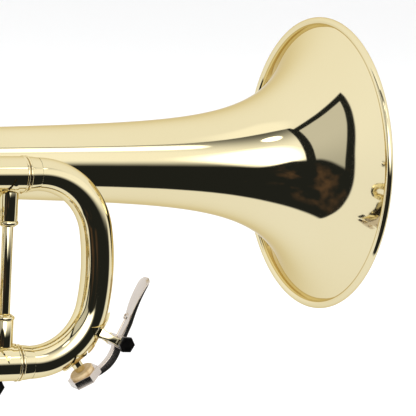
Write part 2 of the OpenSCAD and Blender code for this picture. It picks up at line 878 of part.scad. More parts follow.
// Brass cup and a pearl disc set into it
module finger_button(n) {
    at_valve(n) translate([0, 0, button_z]) {
        color(brass) difference() {
            union() {
                cylinder(r1 = felt_r + 0.2, r2 = button_r, h = dish_h);
                translate([0, 0, dish_h]) cylinder(r = button_r, h = button_h - dish_h);
            }
            translate([0, 0, -over]) cylinder(r = stem_r_valve + joint_gap, h = stem_in + joint_gap + over);
            translate([0, 0, button_h - pearl_depth]) cylinder(r = button_r - 1, h = pearl_depth + over);
        }
        color("#f4f1e6") translate([0, 0, button_h - pearl_depth + joint_gap])
            cylinder(r = button_r - 1 - joint_gap, h = pearl_depth - 0.2);
    }
}

module finger_button_1() { finger_button(1); }
module finger_button_2() { finger_button(2); }
module finger_button_3() { finger_button(3); }

module button_felt(n) {
    color("#efe9dc") at_valve(n) translate([0, 0, felt_bottom]) difference() {
        cylinder(r = felt_r, h = felt_h);
        translate([0, 0, -over]) cylinder(r = stem_r_valve + joint_gap, h = felt_h + 2 * over);
    }
}

module button_felt_1() { button_felt(1); }
module button_felt_2() { button_felt(2); }
module button_felt_3() { button_felt(3); }

// ---- braces and finger hook ----

brace_ease = 0.25;     // room for the bell's taper under a brace's foot
cross_rod_r = 1.9;
collar_r = 3;
collar_len = 5;
lead_foot_r = 4.6;
bell_foot_r = 5.2;
cross_foot_h = 0.9;

// Rod across from the bell to the leadpipe with a collar and a foot at each end
module cross_brace(x, pipe_r) {
    bell_at = bell_radius(-x) + brace_ease;
    reach = 2 * bell_foot_r;
    color(brass) difference() {
        union() {
            rod_y(-lead_y, 0, x, 0, cross_rod_r);
            rod_y(-lead_y, pipe_r + collar_len - lead_y, x, 0, collar_r);
            rod_y(-bell_at - collar_len, 0, x, 0, collar_r);
            rod_y(-lead_y, pipe_r + cross_foot_h - lead_y, x, 0, lead_foot_r);
            rod_y(-bell_at - cross_foot_h, 0, x, 0, bell_foot_r);
        }
        rod_x(x - reach, x + reach, -lead_y, 0, pipe_r + joint_gap);
        rod_x(x - reach, x + reach, 0, 0, bell_at);
    }
}

front_brace_x = -210;
rear_brace_x = -326;

module bell_brace_front() {
    cross_brace(front_brace_x, sleeve_r);
}

module bell_brace_rear() {
    cross_brace(rear_brace_x, inner_r - 0.35);
}

hook_x = -229;
hook_r = 11;
hook_wall = 1.7;
hook_w = 7;
hook_foot = [10, 5];
hook_gap = 14.5;       // height of the side opening that the finger goes in through

// Curled strip on the leadpipe for the right little finger
module finger_hook() {
    base = inner_r + joint_gap;
    color(brass) difference() {
        union() {
            difference() {
                ring_y(hook_x, -lead_y, base + 0.6 + hook_r, hook_r, hook_r - hook_wall, hook_w);
                translate([hook_x - hook_r - over, -lead_y - hook_w, base + 3])
                    cube([hook_r + over, 2 * hook_w, hook_gap]);
            }
            translate([hook_x - hook_foot[0] / 2, -lead_y - hook_foot[1] / 2, base - foot_sink])
                cube([hook_foot[0], hook_foot[1], foot_sink + 1.2]);
        }
        rod_x(hook_x - hook_r, hook_x + hook_r, -lead_y, 0, base);
    }
}

// ---- mouthpiece ----

shank_r = receiver_bore_r - joint_gap;
shank_in = 22;

neck_r = 5.4;
cup_len = 30;
cup_stage = 11;        // length of each of the cup's two outer cones
shoulder_r = 10.4;
waist_r = 11.6;
rim_back = 4;
rim_edge = 1.4;
throat_r = 1.9;
throat_len = 6;
shank_bore_r = 4.2;
cup_depth = 12;
cup_in_r = 8.2;
bite_r = 9.2;          // radius of the cup's mouth at the rim

// Shank, neck, cup and rim; z runs from the shank's tip to the rim
module mouthpiece() {
    neck_z = shank_in + over;
    cup_z = mouthpiece_len - cup_len;
    color(nickel) along_x(shank_in - receiver_x, -lead_y, 0) mirror([0, 0, 1]) difference() {
        union() {
            cylinder(r = shank_r, h = neck_z);
            translate([0, 0, neck_z]) cylinder(r1 = shank_r, r2 = neck_r, h = cup_z - neck_z);
            translate([0, 0, cup_z]) cylinder(r1 = neck_r, r2 = shoulder_r, h = cup_stage);
            translate([0, 0, cup_z + cup_stage]) cylinder(r1 = shoulder_r, r2 = waist_r, h = cup_stage);
            translate([0, 0, mouthpiece_len - 2 * rim_back])
                cylinder(r1 = waist_r, r2 = mouth_rim_r, h = rim_back);
            translate([0, 0, mouthpiece_len - rim_back]) cylinder(r = mouth_rim_r, h = rim_back - rim_edge);
            translate([0, 0, mouthpiece_len - rim_edge])
                cylinder(r1 = mouth_rim_r, r2 = mouth_rim_r - rim_edge, h = rim_edge);
        }
        translate([0, 0, -over])
            cylinder(r1 = shank_bore_r, r2 = throat_r, h = mouthpiece_len - cup_depth - throat_len);
        translate([0, 0, mouthpiece_len - cup_depth - throat_len - 2 * over])
            cylinder(r = throat_r, h = 2 * throat_len);
        translate([0, 0, mouthpiece_len - cup_depth])
            cylinder(r1 = throat_r + 0.6, r2 = cup_in_r, h = cup_depth + joint_gap);
        translate([0, 0, mouthpiece_len - over]) cylinder(r1 = cup_in_r, r2 = bite_r, h = 1.1 * over);
    }
}

bell();
bell_rim_bead();
bell_bow();
bell_tail();
bell_ferrules();
leadpipe();
mouthpiece_receiver();
upper_slide_sleeve();
lower_slide_sleeve();
third_valve_elbow();
slide_brace();
valve_casing_1();
valve_casing_2();
valve_casing_3();
valve_knuckles();
valve_guides();
first_slide_sleeves();
second_slide_sleeves();
third_slide_sleeves();
top_caps();
bottom_caps();
bell_brace_front();
bell_brace_rear();
finger_hook();
main_slide_bow();
main_slide_tubes();
main_water_key_seat();
main_water_key_screw();
main_water_key_spring();
main_water_key_lever();
main_water_key_cork();
first_slide_crook();
first_slide_tubes();
thumb_saddle();
second_slide_crook();
second_slide_tubes();
third_slide_crook();
third_slide_tubes();
finger_ring();
stop_rod();
third_water_key_seat();
third_water_key_screw();
third_water_key_lever();
third_water_key_cork();
mouthpiece();
piston_1();
valve_stem_1();
finger_button_1();
button_felt_1();
valve_spring_1();
piston_2();
valve_stem_2();
finger_button_2();
button_felt_2();
valve_spring_2();
piston_3();
valve_stem_3();
finger_button_3();
button_felt_3();
valve_spring_3();
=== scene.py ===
import math

import bpy
from mathutils import Matrix, Vector


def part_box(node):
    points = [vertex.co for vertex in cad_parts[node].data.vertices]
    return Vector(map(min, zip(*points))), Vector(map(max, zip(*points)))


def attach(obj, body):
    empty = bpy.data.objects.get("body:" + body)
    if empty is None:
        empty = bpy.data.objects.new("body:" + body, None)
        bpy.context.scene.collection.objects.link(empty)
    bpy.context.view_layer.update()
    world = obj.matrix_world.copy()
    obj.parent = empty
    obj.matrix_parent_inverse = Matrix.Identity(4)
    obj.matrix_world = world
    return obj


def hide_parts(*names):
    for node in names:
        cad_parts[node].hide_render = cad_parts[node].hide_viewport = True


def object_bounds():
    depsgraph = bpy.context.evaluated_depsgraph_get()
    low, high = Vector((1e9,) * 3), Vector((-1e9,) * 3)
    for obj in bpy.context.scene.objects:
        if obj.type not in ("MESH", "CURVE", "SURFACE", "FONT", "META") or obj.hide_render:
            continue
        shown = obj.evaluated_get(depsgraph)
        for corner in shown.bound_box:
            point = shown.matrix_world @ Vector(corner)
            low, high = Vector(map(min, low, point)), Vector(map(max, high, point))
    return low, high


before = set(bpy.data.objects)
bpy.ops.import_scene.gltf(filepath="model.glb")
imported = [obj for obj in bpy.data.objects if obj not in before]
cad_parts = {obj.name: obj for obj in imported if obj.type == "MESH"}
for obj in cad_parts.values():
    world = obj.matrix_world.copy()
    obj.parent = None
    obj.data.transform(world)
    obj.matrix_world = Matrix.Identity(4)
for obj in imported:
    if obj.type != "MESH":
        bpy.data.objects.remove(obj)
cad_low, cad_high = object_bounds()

MM = 0.001
TURN = 2 * math.pi
AXES = {"x": 0, "y": 1, "z": 2}

# ---------------------------------------------------------------- places, from the frame


def low(node, axis):
    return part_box(node)[0][AXES[axis]]


def high(node, axis):
    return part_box(node)[1][AXES[axis]]


def mid(node, axis):
    return (low(node, axis) + high(node, axis)) / 2


def half(node, axis):
    return (high(node, axis) - low(node, axis)) / 2


LEAD_Y = mid("leadpipe", "y")
LOWER_Z = mid("lower_slide_sleeve", "z")
VALVE_Y = mid("valve_casing_1", "y")
VALVE_X = {n: mid(f"valve_casing_{n}", "x") for n in (1, 2, 3)}
CASING_R = 10.0 * MM
CASING_IN = 8.5 * MM
CASING_TOP = high("valve_casing_1", "z")
CASING_BOTTOM = low("valve_casing_1", "z")
BORE_R = 5.83 * MM
TUBE_R = half("main_slide_bow", "y")
INNER_R = 6.25 * MM
SLEEVE_R = 6.95 * MM
FERRULE_R = half("main_slide_tubes", "y")

# ---------------------------------------------------------------- materials


def add_node(tree, kind, **values):
    made = tree.nodes.new(kind)
    for key, value in values.items():
        setattr(made, key, value)
    return made


def noise(tree, coordinates, scale, detail=2.0, roughness=0.5):
    made = add_node(tree, "ShaderNodeTexNoise")
    made.inputs["Scale"].default_value = scale
    made.inputs["Detail"].default_value = detail
    made.inputs["Roughness"].default_value = roughness
    tree.links.new(coordinates, made.inputs["Vector"])
    return made.outputs["Fac"]


def ramp(tree, factor, stops):
    made = add_node(tree, "ShaderNodeValToRGB")
    elements = made.color_ramp.elements
    while len(elements) < len(stops):
        elements.new(0.5)
    for element, (place, colour) in zip(elements, stops):
        element.position = place
        element.color = (*colour, 1.0)
    tree.links.new(factor, made.inputs["Fac"])
    return made.outputs["Color"]


def spread(tree, factor, low_value, high_value):
    made = add_node(tree, "ShaderNodeMapRange")
    made.inputs["To Min"].default_value = low_value
    made.inputs["To Max"].default_value = high_value
    tree.links.new(factor, made.inputs["Value"])
    return made.outputs["Result"]


def material(name, stops, scale, roughness, metallic=1.0, bump=None, **fixed):
    """Principled surface: noise through colour stops, a roughness range, a bump (scale, strength, depth)."""
    made = bpy.data.materials.new(name)
    made.use_nodes = True
    tree = made.node_tree
    shader = tree.nodes["Principled BSDF"]
    place = add_node(tree, "ShaderNodeTexCoord").outputs["Object"]
    cloud = noise(tree, place, scale, 3.0)
    tree.links.new(ramp(tree, cloud, stops), shader.inputs["Base Color"])
    wear = noise(tree, place, scale * 3.7, 4.0)
    tree.links.new(spread(tree, wear, *roughness), shader.inputs["Roughness"])
    shader.inputs["Metallic"].default_value = metallic
    for key, value in fixed.items():
        shader.inputs[key.replace("_", " ")].default_value = value
    if bump:
        bump_scale, strength, depth = bump
        made_bump = add_node(tree, "ShaderNodeBump")
        made_bump.inputs["Strength"].default_value = strength
        made_bump.inputs["Distance"].default_value = depth
        tree.links.new(noise(tree, place, bump_scale, 2.0), made_bump.inputs["Height"])
        tree.links.new(made_bump.outputs["Normal"], shader.inputs["Normal"])
    return made


BRASS = material(
    "lacquered_brass",
    [(0.35, (0.83, 0.725, 0.445)), (0.5, (0.845, 0.745, 0.47)), (0.65, (0.86, 0.765, 0.495))],
    scale=9.0, roughness=(0.03, 0.06), bump=(55.0, 0.08, 0.0004),
    Coat_Weight=0.1, Coat_Roughness=0.03, Coat_IOR=1.5, Specular_Tint=(0.72, 0.62, 0.40, 1.0),
)
FERRULE_BRASS = material(
    "ferrule_brass",
    [(0.35, (0.80, 0.66, 0.36)), (0.65, (0.86, 0.74, 0.45))],
    scale=40.0, roughness=(0.05, 0.12), bump=(220.0, 0.1, 0.0002),
    Coat_Weight=0.3, Coat_Roughness=0.04, Coat_IOR=1.5,
)
NICKEL = material(
    "nickel_silver",
    [(0.3, (0.62, 0.55, 0.49)), (0.7, (0.70, 0.63, 0.56))],
    scale=60.0, roughness=(0.12, 0.26), bump=(900.0, 0.15, 0.00005),
)
# Painted shade: the water keys' screw and its hex nut get a near-black colour that stands in for the shade
# they sit in.
PAINTED_SHADE_SCREW = material(
    "painted_shade_steel",
    [(0.3, (0.015, 0.014, 0.014)), (0.7, (0.04, 0.037, 0.035))],
    scale=300.0, roughness=(0.22, 0.4), bump=(1500.0, 0.2, 0.00005),
)
SILVER = material(
    "silver_plate",
    [(0.3, (0.88, 0.88, 0.86)), (0.7, (0.94, 0.94, 0.93))],
    scale=30.0, roughness=(0.04, 0.1), bump=(80.0, 0.05, 0.0002),
)
PEARL = material(
    "pearl",
    [(0.25, (0.80, 0.76, 0.70)), (0.45, (0.93, 0.90, 0.86)), (0.6, (0.86, 0.90, 0.88)),
     (0.75, (0.95, 0.88, 0.88))],
    scale=260.0, roughness=(0.12, 0.22), metallic=0.0, bump=(400.0, 0.08, 0.0001),
    Coat_Weight=0.8, Coat_Roughness=0.05, Subsurface_Weight=0.1,
)
CORK = material(
    "cork",
    [(0.3, (0.58, 0.39, 0.19)), (0.42, (0.70, 0.51, 0.27)), (0.6, (0.77, 0.59, 0.35)),
     (0.75, (0.82, 0.65, 0.41))],
    scale=700.0, roughness=(0.75, 0.95), metallic=0.0, bump=(1800.0, 0.6, 0.0003),
)
FELT = material(
    "felt",
    [(0.3, (0.55, 0.52, 0.45)), (0.7, (0.80, 0.77, 0.69))],
    scale=1500.0, roughness=(0.9, 1.0), metallic=0.0, bump=(2600.0, 0.8, 0.0004),
    Sheen_Weight=0.6, Sheen_Roughness=0.5,
)

# ---------------------------------------------------------------- mesh building


def piece(name, body, points, faces, surface=BRASS, slot="lacquered_brass", replaces=None, sharp=38.0):
    """Mesh object riding on a body. It stands for the node of its own name unless replaces says otherwise."""
    mesh = bpy.data.meshes.new(name)
    mesh.from_pydata([tuple(p) for p in points], [], faces)
    mesh.validate()
    mesh.polygons.foreach_set("use_smooth", [True] * len(mesh.polygons))
    mesh.set_sharp_from_angle(angle=math.radians(sharp))
    mesh.update()
    mesh.materials.append(surface)
    made = bpy.data.objects.new(name, mesh)
    bpy.context.scene.collection.objects.link(made)
    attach(made, body)
    nodes = [name] if replaces is None else replaces
    if nodes:
        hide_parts(*nodes)
    return made


class Solid:
    """Gathers closed shells into one mesh."""

    def __init__(self):
        self.points = []
        self.faces = []

    def grid(self, rows, closed=False):
        """Joins rings of points. Open ends get a face; closed=True joins the last ring to the first."""
        start = len(self.points)
        count = len(rows[0])
        for row in rows:
            self.points.extend(row)
        span = len(rows) if closed else len(rows) - 1
        for i in range(span):
            a = start + i * count
            b = start + ((i + 1) % len(rows)) * count
            for k in range(count):
                m = (k + 1) % count
                self.faces.append((a + k, a + m, b + m, b + k))
        if not closed:
            self.faces.append(tuple(start + k for k in reversed(range(count))))
            self.faces.append(tuple(start + (len(rows) - 1) * count + k for k in range(count)))
        return self

    def finish(self, name, body, *look, **options):
        return piece(name, body, self.points, self.faces, *look, **options)


def rounded(loop, radius=0.25 * MM, steps=3):
    """A closed outline with every real corner turned into a small arc."""
    out = []
    for i, here in enumerate(loop):
        before, after = loop[i - 1], loop[(i + 1) % len(loop)]
        u = Vector((before[0] - here[0], before[1] - here[1]))
        v = Vector((after[0] - here[0], after[1] - here[1]))
        if u.length < 1e-9 or v.length < 1e-9:
            continue
        angle = u.angle(v)
        if angle > math.radians(150):
            out.append(here)
            continue
        reach = min(radius / math.tan(angle / 2), 0.45 * u.length, 0.45 * v.length)
        p, q = Vector(here) + u.normalized() * reach, Vector(here) + v.normalized() * reach
        for k in range(steps + 1):
            t = k / steps
            mix = p * (1 - t) ** 2 + Vector(here) * (2 * t * (1 - t)) + q * t * t
            out.append((mix.x, mix.y))
    return out


def basis(direction):
    """Two unit vectors across a direction."""
    d = Vector(direction).normalized()
    helper = Vector((0, 0, 1)) if abs(d.z) < 0.9 else Vector((0, 1, 0))
    side = d.cross(helper).normalized()
    return d, side, d.cross(side).normalized()


def lathe_rows(loop, origin, direction, segments=96, wave=None):
    """Rings of a closed outline of (along, radius) about an axis; wave(along, angle) adds to the radius."""
    d, side, up = basis(direction)
    base = Vector(origin)
    rows = []
    for k in range(segments):
        a = TURN * k / segments
        out = side * math.cos(a) + up * math.sin(a)
        rows.append([
            base + d * along + out * (r + (wave(along, a) if wave else 0.0)) for along, r in loop
        ])
    return rows


def lathe(name, body, loop, origin, direction, *look, segments=96, **options):
    """One hollow turned piece from a closed outline."""
    solid = Solid().grid(lathe_rows(loop, origin, direction, segments), closed=True)
    return solid.finish(name, body, *look, **options)


def hollow(outside, inner, inner_end=None, radius=0.25 * MM):
    """Closed outline from an outside run of (along, radius) and a bore, straight or tapering to inner_end."""
    last = inner if inner_end is None else inner_end
    return rounded(list(outside) + [(outside[-1][0], last), (outside[0][0], inner)], radius)


def run(along, radius, *points):
    """Outline points given in millimetres from a place along the axis and a radius."""
    return [(along + a * MM, radius + r * MM) for a, r in points]


def bead(along, r, width, height, steps=6):
    """Half-round ring on an outside run."""
    return [
        (along - width / 2 * math.cos(math.pi * k / steps), r + height * math.sin(math.pi * k / steps))
        for k in range(steps + 1)
    ]


def path_frames(path):
    """Points with direction and two cross vectors carried smoothly along a path."""
    points = [Vector(p) for p in path]
    frames = []
    side = None
    for i, p in enumerate(points):
        a, b = points[max(0, i - 1)], points[min(len(points) - 1, i + 1)]
        d = (b - a).normalized()
        if side is None:
            _, side, _ = basis(d)
        side = (side - d * side.dot(d)).normalized()
        frames.append((p, d, side, d.cross(side).normalized()))
    return frames


def tube_rows(path, outer, inner, segments=64, lip=0.15 * MM):
    """Closed hollow tube along a path; outer and inner are functions of the share of the path."""
    frames = path_frames(path)
    last = len(frames) - 1

    def ring(i, r):
        p, _, side, up = frames[i]
        return ring_of(p, side, up, r, segments)

    rows = [ring(0, inner(0.0)), ring(0, outer(0.0) - lip)]
    rows += [ring(i, outer(i / last)) for i in range(len(frames))]
    rows += [ring(last, outer(1.0) - lip), ring(last, inner(1.0))]
    rows += [ring(i, inner(i / last)) for i in range(last - 1, 0, -1)]
    return rows


def tube(name, body, path, outer, inner, segments=64):
    """One hollow brass tube along a path."""
    return Solid().grid(tube_rows(path, outer, inner, segments), closed=True).finish(name, body)


def steady(value):
    """The same radius all along a tube."""
    return lambda share: value


def between(a, b):
    """A radius that changes evenly from a to b."""
    return lambda share: a + (b - a) * share


def arc(centre, u, v, radius, start, end, steps):
    """Points of an arc; the angle runs from u towards v, in degrees."""
    c, u, v = Vector(centre), Vector(u), Vector(v)
    return [
        c + (u * math.cos(a) + v * math.sin(a)) * radius
        for a in (math.radians(start + (end - start) * k / steps) for k in range(steps + 1))
    ]


def bar_rows(path, widths, thicknesses, across, corner=0.35, steps=5):
    """Solid bar with a rounded rectangular section; across is the direction of its width."""
    points = [Vector(p) for p in path]
    across = Vector(across).normalized()
    rows = []
    for i, p in enumerate(points):
        d = (points[min(len(points) - 1, i + 1)] - points[max(0, i - 1)]).normalized()
        side = (across - d * across.dot(d)).normalized()
        up = d.cross(side)
        w, t = widths[i] / 2, thicknesses[i] / 2
        r = min(w, t) * corner
        ring = []
        corners = ((w - r, t - r), (r - w, t - r), (r - w, r - t), (w - r, r - t))
        for quarter, (cx, cy) in enumerate(corners):
            for k in range(steps):
                a = math.radians(90 * (quarter + k / (steps - 1)))
                ring.append(p + side * (cx + r * math.cos(a)) + up * (cy + r * math.sin(a)))
        rows.append(ring)
    return rows


def patch(solid, origin, axis, out, radius, along, around, thickness, power=1.0, steps=14):
    """Thin foot that hugs a tube: |a|^power + |b|^power <= 1 of half lengths along and around it."""
    d, o = Vector(axis).normalized(), Vector(out).normalized()
    side = d.cross(o)
    base = Vector(origin)
    rings, count, under = 6, 4 * steps, -0.02 * MM

    def place(share, m, height):
        c, s = math.cos(TURN * m / count), math.sin(TURN * m / count)
        size = (abs(c) ** power + abs(s) ** power) ** (-1.0 / power)
        a, b = share * size * c * along, share * size * s * around
        turn = b / radius
        return base + d * a + (o * math.cos(turn) + side * math.sin(turn)) * (radius + height)

    layers = [(k / rings, thickness) for k in range(1, rings + 1)]
    layers += [(k / rings, under) for k in (rings, 4, 1)]
    solid.grid([[place(share, m, height) for m in range(count)] for share, height in layers])


def ring_of(centre, side, up, radius, count, turn=0.0):
    """Points of a circle or a regular outline."""
    angles = [turn + TURN * k / count for k in range(count)]
    return [centre + side * (radius * math.cos(a)) + up * (radius * math.sin(a)) for a in angles]


def wire_rows(path, wire, sides=10):
    """Round wire along a path; wire is its radius."""
    return [ring_of(p, side, up, wire, sides) for p, _, side, up in path_frames(path)]


def helix_rows(centre, axis, radius, wire, turns, pitch, start=0.0, steps=28):
    """Coil of round wire."""
    d, side, up = basis(axis)
    path = []
    for k in range(int(turns * steps) + 1):
        a = start + TURN * k / steps
        out = side * math.cos(a) + up * math.sin(a)
        path.append(Vector(centre) + d * (pitch * k / steps) + out * radius)
    return wire_rows(path, wire)


def rod_rows(start, end, radius, segments=48, lip=0.2 * MM):
    """Solid round rod with softened ends."""
    a, b = Vector(start), Vector(end)
    d, side, up = basis(b - a)
    length = (b - a).length
    near = [(0, radius - lip), (lip * 0.3, radius - lip * 0.3), (lip, radius)]
    far = [(length - along, r) for along, r in reversed(near)]
    return [ring_of(a + d * along, side, up, r, segments) for along, r in near + far]


def prism_rows(start, end, corners, radius, turn=0.0, chamfer=0.3 * MM):
    """Solid six-sided or other regular bar with chamfered ends."""
    a, b = Vector(start), Vector(end)
    d, side, up = basis(b - a)
    length = (b - a).length
    near = [(0, radius - chamfer), (chamfer * 0.7, radius)]
    far = [(length - along, r) for along, r in reversed(near)]
    return [ring_of(a + d * along, side, up, r, corners, turn) for along, r in near + far]


def meet_casing(made, n, along="x"):
    """Shapes the end of a tube that meets a valve casing along x or y, so that it sits on the round wall."""
    centre = Vector((VALVE_X[n], VALVE_Y, 0))
    wall = CASING_R - 0.05 * MM
    for v in made.data.vertices:
        offset = Vector((v.co.x, v.co.y, 0)) - centre
        if offset.length < wall:
            if along == "y":
                v.co.y = centre.y - math.sqrt(max(0.0, wall ** 2 - offset.x ** 2))
            else:
                sign = 1 if offset.x > 0 else -1
                v.co.x = centre.x + sign * math.sqrt(max(0.0, wall ** 2 - offset.y ** 2))
    made.data.update()


# ---------------------------------------------------------------- bell

BELL_LEN = -low("bell", "x")
STEM_R = 8.9 * MM
STEM_TAPER = 0.0263
FLARE_GAIN = 42.35 * MM
FLARE_LEN = 351.5 * MM
FLARE_POWER = 16.35
SHEET = 0.6 * MM
RIM_R = half("bell_rim_bead", "z")
BEAD_R = 1.6 * MM
BEAD_X = 1.45 * MM
WIRE_R = 0.8 * MM
BOW_END_R = 7.6 * MM


def bell_radius(s):
    return STEM_R + STEM_TAPER * (BELL_LEN - s) + FLARE_GAIN / (1 + s / FLARE_LEN) ** FLARE_POWER


def bell_slope(s):
    return -STEM_TAPER - FLARE_GAIN * FLARE_POWER / FLARE_LEN / (1 + s / FLARE_LEN) ** (FLARE_POWER + 1)


def bell_inside(s):
    m = bell_slope(s)
    q = math.sqrt(1 + m * m)
    return max(0.0, s + SHEET * m / q), bell_radius(s) - SHEET / q


def make_bell():
    steps = 150
    stations = [BELL_LEN * (k / steps) ** 2 for k in range(steps + 1)]
    centre = (BEAD_X, RIM_R - BEAD_R)
    start = 1.15 * MM
    back = [(s, bell_radius(s)) for s in stations if s > start]
    front = [bell_inside(s) for s in stations if s > 0.62 * MM]

    def turned(point):
        return math.atan2(point[1] - centre[1], point[0] - centre[0])

    first, last = turned((start, bell_radius(start))), turned(front[0])
    sweep = last - first + TURN if last < first else last - first
    curl = [
        (max(0.0, centre[0] + BEAD_R * math.cos(first + sweep * k / 40)),
         centre[1] + BEAD_R * math.sin(first + sweep * k / 40))
        for k in range(41)
    ]
    loop = [(-s, r) for s, r in list(reversed(back)) + curl + front]
    lathe("bell_sheet", "horn", loop, (0, 0, 0), (1, 0, 0), replaces=["bell"],
          segments=256, sharp=60)
    spokes = [TURN * k / 16 for k in range(16)]
    wire = [(WIRE_R * math.cos(a) - BEAD_X, centre[1] + WIRE_R * math.sin(a)) for a in spokes]
    wire = rounded(wire, 0.1 * MM)
    lathe("rim_wire", "horn", wire, (0, 0, 0), (1, 0, 0), replaces=["bell_rim_bead"],
          segments=192, sharp=80)


def make_bell_bow():
    tail_z = mid("bell_tail", "z")
    down = Vector((0, VALVE_Y, tail_z))
    radius = down.length / 2
    down.normalize()
    centre = Vector((-BELL_LEN, 0, 0)) + down * radius
    path = arc(centre, -down, (-1, 0, 0), radius, 0, 180, 96)
    start_r = bell_radius(BELL_LEN)
    tube("bell_bow", "horn", path, between(start_r, BOW_END_R), between(start_r - SHEET, BOW_END_R - SHEET),
         segments=96)
    tail_end = VALVE_X[1] - CASING_R + 4 * MM
    tail = [(-BELL_LEN, BOW_END_R), (tail_end, 6.6 * MM)]
    loop = hollow(tail, BOW_END_R - SHEET, BORE_R, 0.0)
    made = lathe("bell_tail", "horn", loop, (0, VALVE_Y, tail_z), (1, 0, 0))
    meet_casing(made, 1)
    ferrules = (("bow_ferrule_upper", 0, 0, 9.0 * MM), ("bow_ferrule_lower", VALVE_Y, tail_z, 7.72 * MM))
    for name, y, z, r in ferrules:
        w, ring_r = 4.6 * MM, r + 0.45 * MM
        outside = run(-w, r, (0, 0.35)) + bead(-w + 1.1 * MM, ring_r, 1.6 * MM, 0.45 * MM)
        outside += run(0, r, (0, 0.4)) + bead(w - 1.1 * MM, ring_r, 1.6 * MM, 0.45 * MM)
        outside += run(w, r, (0, 0.35))
        loop = hollow(outside, r + 0.02 * MM, None, 0.12 * MM)
        lathe(name, "horn", loop, (-BELL_LEN + 1 * MM, y, z), (1, 0, 0), FERRULE_BRASS,
              replaces=["bell_ferrules"])


# ---------------------------------------------------------------- leadpipe, receiver, sleeves


def make_leadpipe():
    x0, x1 = low("leadpipe", "x"), high("leadpipe", "x")
    cone_end = x1 - 9.5 * MM
    outside = [(x0, 5.1 * MM), (cone_end, INNER_R), (x1, INNER_R)]
    lathe("leadpipe", "horn", hollow(outside, 4.4 * MM, 5.7 * MM), (0, LEAD_Y, 0), (1, 0, 0))
    x0, x1 = low("mouthpiece_receiver", "x"), high("mouthpiece_receiver", "x")
    r, seat_r, end_r = 6.5 * MM, 4.95 * MM, 5.3 * MM
    outside = run(x0, r, (0, 0.5)) + bead(x0 + 1.4 * MM, r + 0.55 * MM, 2.0 * MM, 0.5 * MM)
    outside += run(x0, r, (2.8, 0.3), (3.4, 0), (5.0, 0)) + bead(x0 + 6.0 * MM, r, 1.2 * MM, 0.5 * MM)
    outside += run(x0, r, (7.0, 0)) + run(x1, r, (-13, 0), (-11.6, -0.1))
    outside += bead(x1 - 10.5 * MM, r - 0.1 * MM, 1.4 * MM, 0.45 * MM)
    outside += run(x1, r, (-9, -0.3), (-5, -0.55), (-1, -0.8), (0, -0.9))
    inside = [(x1, end_r), (x0 + 24 * MM, end_r), (x0 + 24 * MM, seat_r), (x0, seat_r)]
    loop = rounded(outside + inside, 0.15 * MM)
    lathe("mouthpiece_receiver", "horn", loop, (0, LEAD_Y, 0), (1, 0, 0), FERRULE_BRASS)


def make_main_sleeves():
    for name, z in (("upper_slide_sleeve", 0.0), ("lower_slide_sleeve", LOWER_Z)):
        x0, x1 = low(name, "x"), high(name, "x")
        r = SLEEVE_R
        outside = run(x0, r, (0, 0.25)) + bead(x0 + 1.0 * MM, r + 0.3 * MM, 1.3 * MM, 0.3 * MM)
        outside += run(x0, r, (2.0, 0.2), (2.6, 0)) + run(x1, r, (-1.1, 0))
        outside += bead(x1 - 0.55 * MM, r, 0.9 * MM, 0.3 * MM) + [(x1, r)]
        loop = hollow(outside, INNER_R + 0.05 * MM, None, 0.12 * MM)
        lathe(name, "horn", loop, (0, LEAD_Y, z), (1, 0, 0))
    bend_r = 12 * MM
    elbow_x = VALVE_X[3] + bend_r
    back = low("lower_slide_sleeve", "x") - 0.05 * MM
    path = [Vector((back + (elbow_x - back) * k / 4, LEAD_Y, LOWER_Z)) for k in range(4)]
    path += arc((elbow_x, LEAD_Y + bend_r, LOWER_Z), (0, -1, 0), (-1, 0, 0), bend_r, 0, 78, 30)
    made = tube("third_valve_elbow", "horn", path, steady(TUBE_R), steady(BORE_R))
    meet_casing(made, 3, "y")


def make_slide_brace():
    x = mid("slide_brace", "x")
    socket_r, rod_r = 3.65 * MM, 2.15 * MM
    solid = Solid()
    top, bottom = -SLEEVE_R, LOWER_Z + SLEEVE_R
    solid.grid(rod_rows((x, LEAD_Y, top - 9 * MM), (x, LEAD_Y, bottom + 9 * MM), rod_r))
    for z, sign, socket_len in ((top, -1, 13.0 * MM), (bottom, 1, 12.2 * MM)):
        outside = [(-1.4 * MM, socket_r), (socket_len - 2.4 * MM, socket_r)]
        outside += bead(socket_len - 1.4 * MM, socket_r - 0.1 * MM, 1.6 * MM, 0.5 * MM)
        outside += [(socket_len - 0.4 * MM, socket_r - 0.5 * MM), (socket_len, socket_r - 0.9 * MM)]
        loop = hollow(outside, rod_r + 0.02 * MM, None, 0.2 * MM)
        solid.grid(lathe_rows(loop, (x, LEAD_Y, z), (0, 0, sign), 64), closed=True)
        patch(solid, (x, LEAD_Y, z - sign * SLEEVE_R), (1, 0, 0), (0, 0, sign), SLEEVE_R, 5.2 * MM, 9.8 * MM,
              0.6 * MM, power=0.9)
    solid.finish("slide_brace", "horn")


# ---------------------------------------------------------------- main slide

CORNER_R = 26.1 * MM
FRONT_R = 85.9 * MM


def bow_path(x, z_top, z_bottom):
    """Corner, flatter front, corner."""
    drop = z_top - z_bottom
    half_angle = math.degrees(math.asin((drop / 2 - CORNER_R) / (FRONT_R - CORNER_R)))
    front_x = x + (CORNER_R - FRONT_R) * math.cos(math.radians(half_angle))
    u, v = (1, 0, 0), (0, 0, 1)
    path = arc((x, LEAD_Y, z_top - CORNER_R), u, v, CORNER_R, 90, half_angle, 40)
    path += arc((front_x, LEAD_Y, (z_top + z_bottom) / 2), u, v, FRONT_R, half_angle, -half_angle, 14)[1:]
    path += arc((x, LEAD_Y, z_bottom + CORNER_R), u, v, CORNER_R, -half_angle, -90, 40)[1:]
    return path


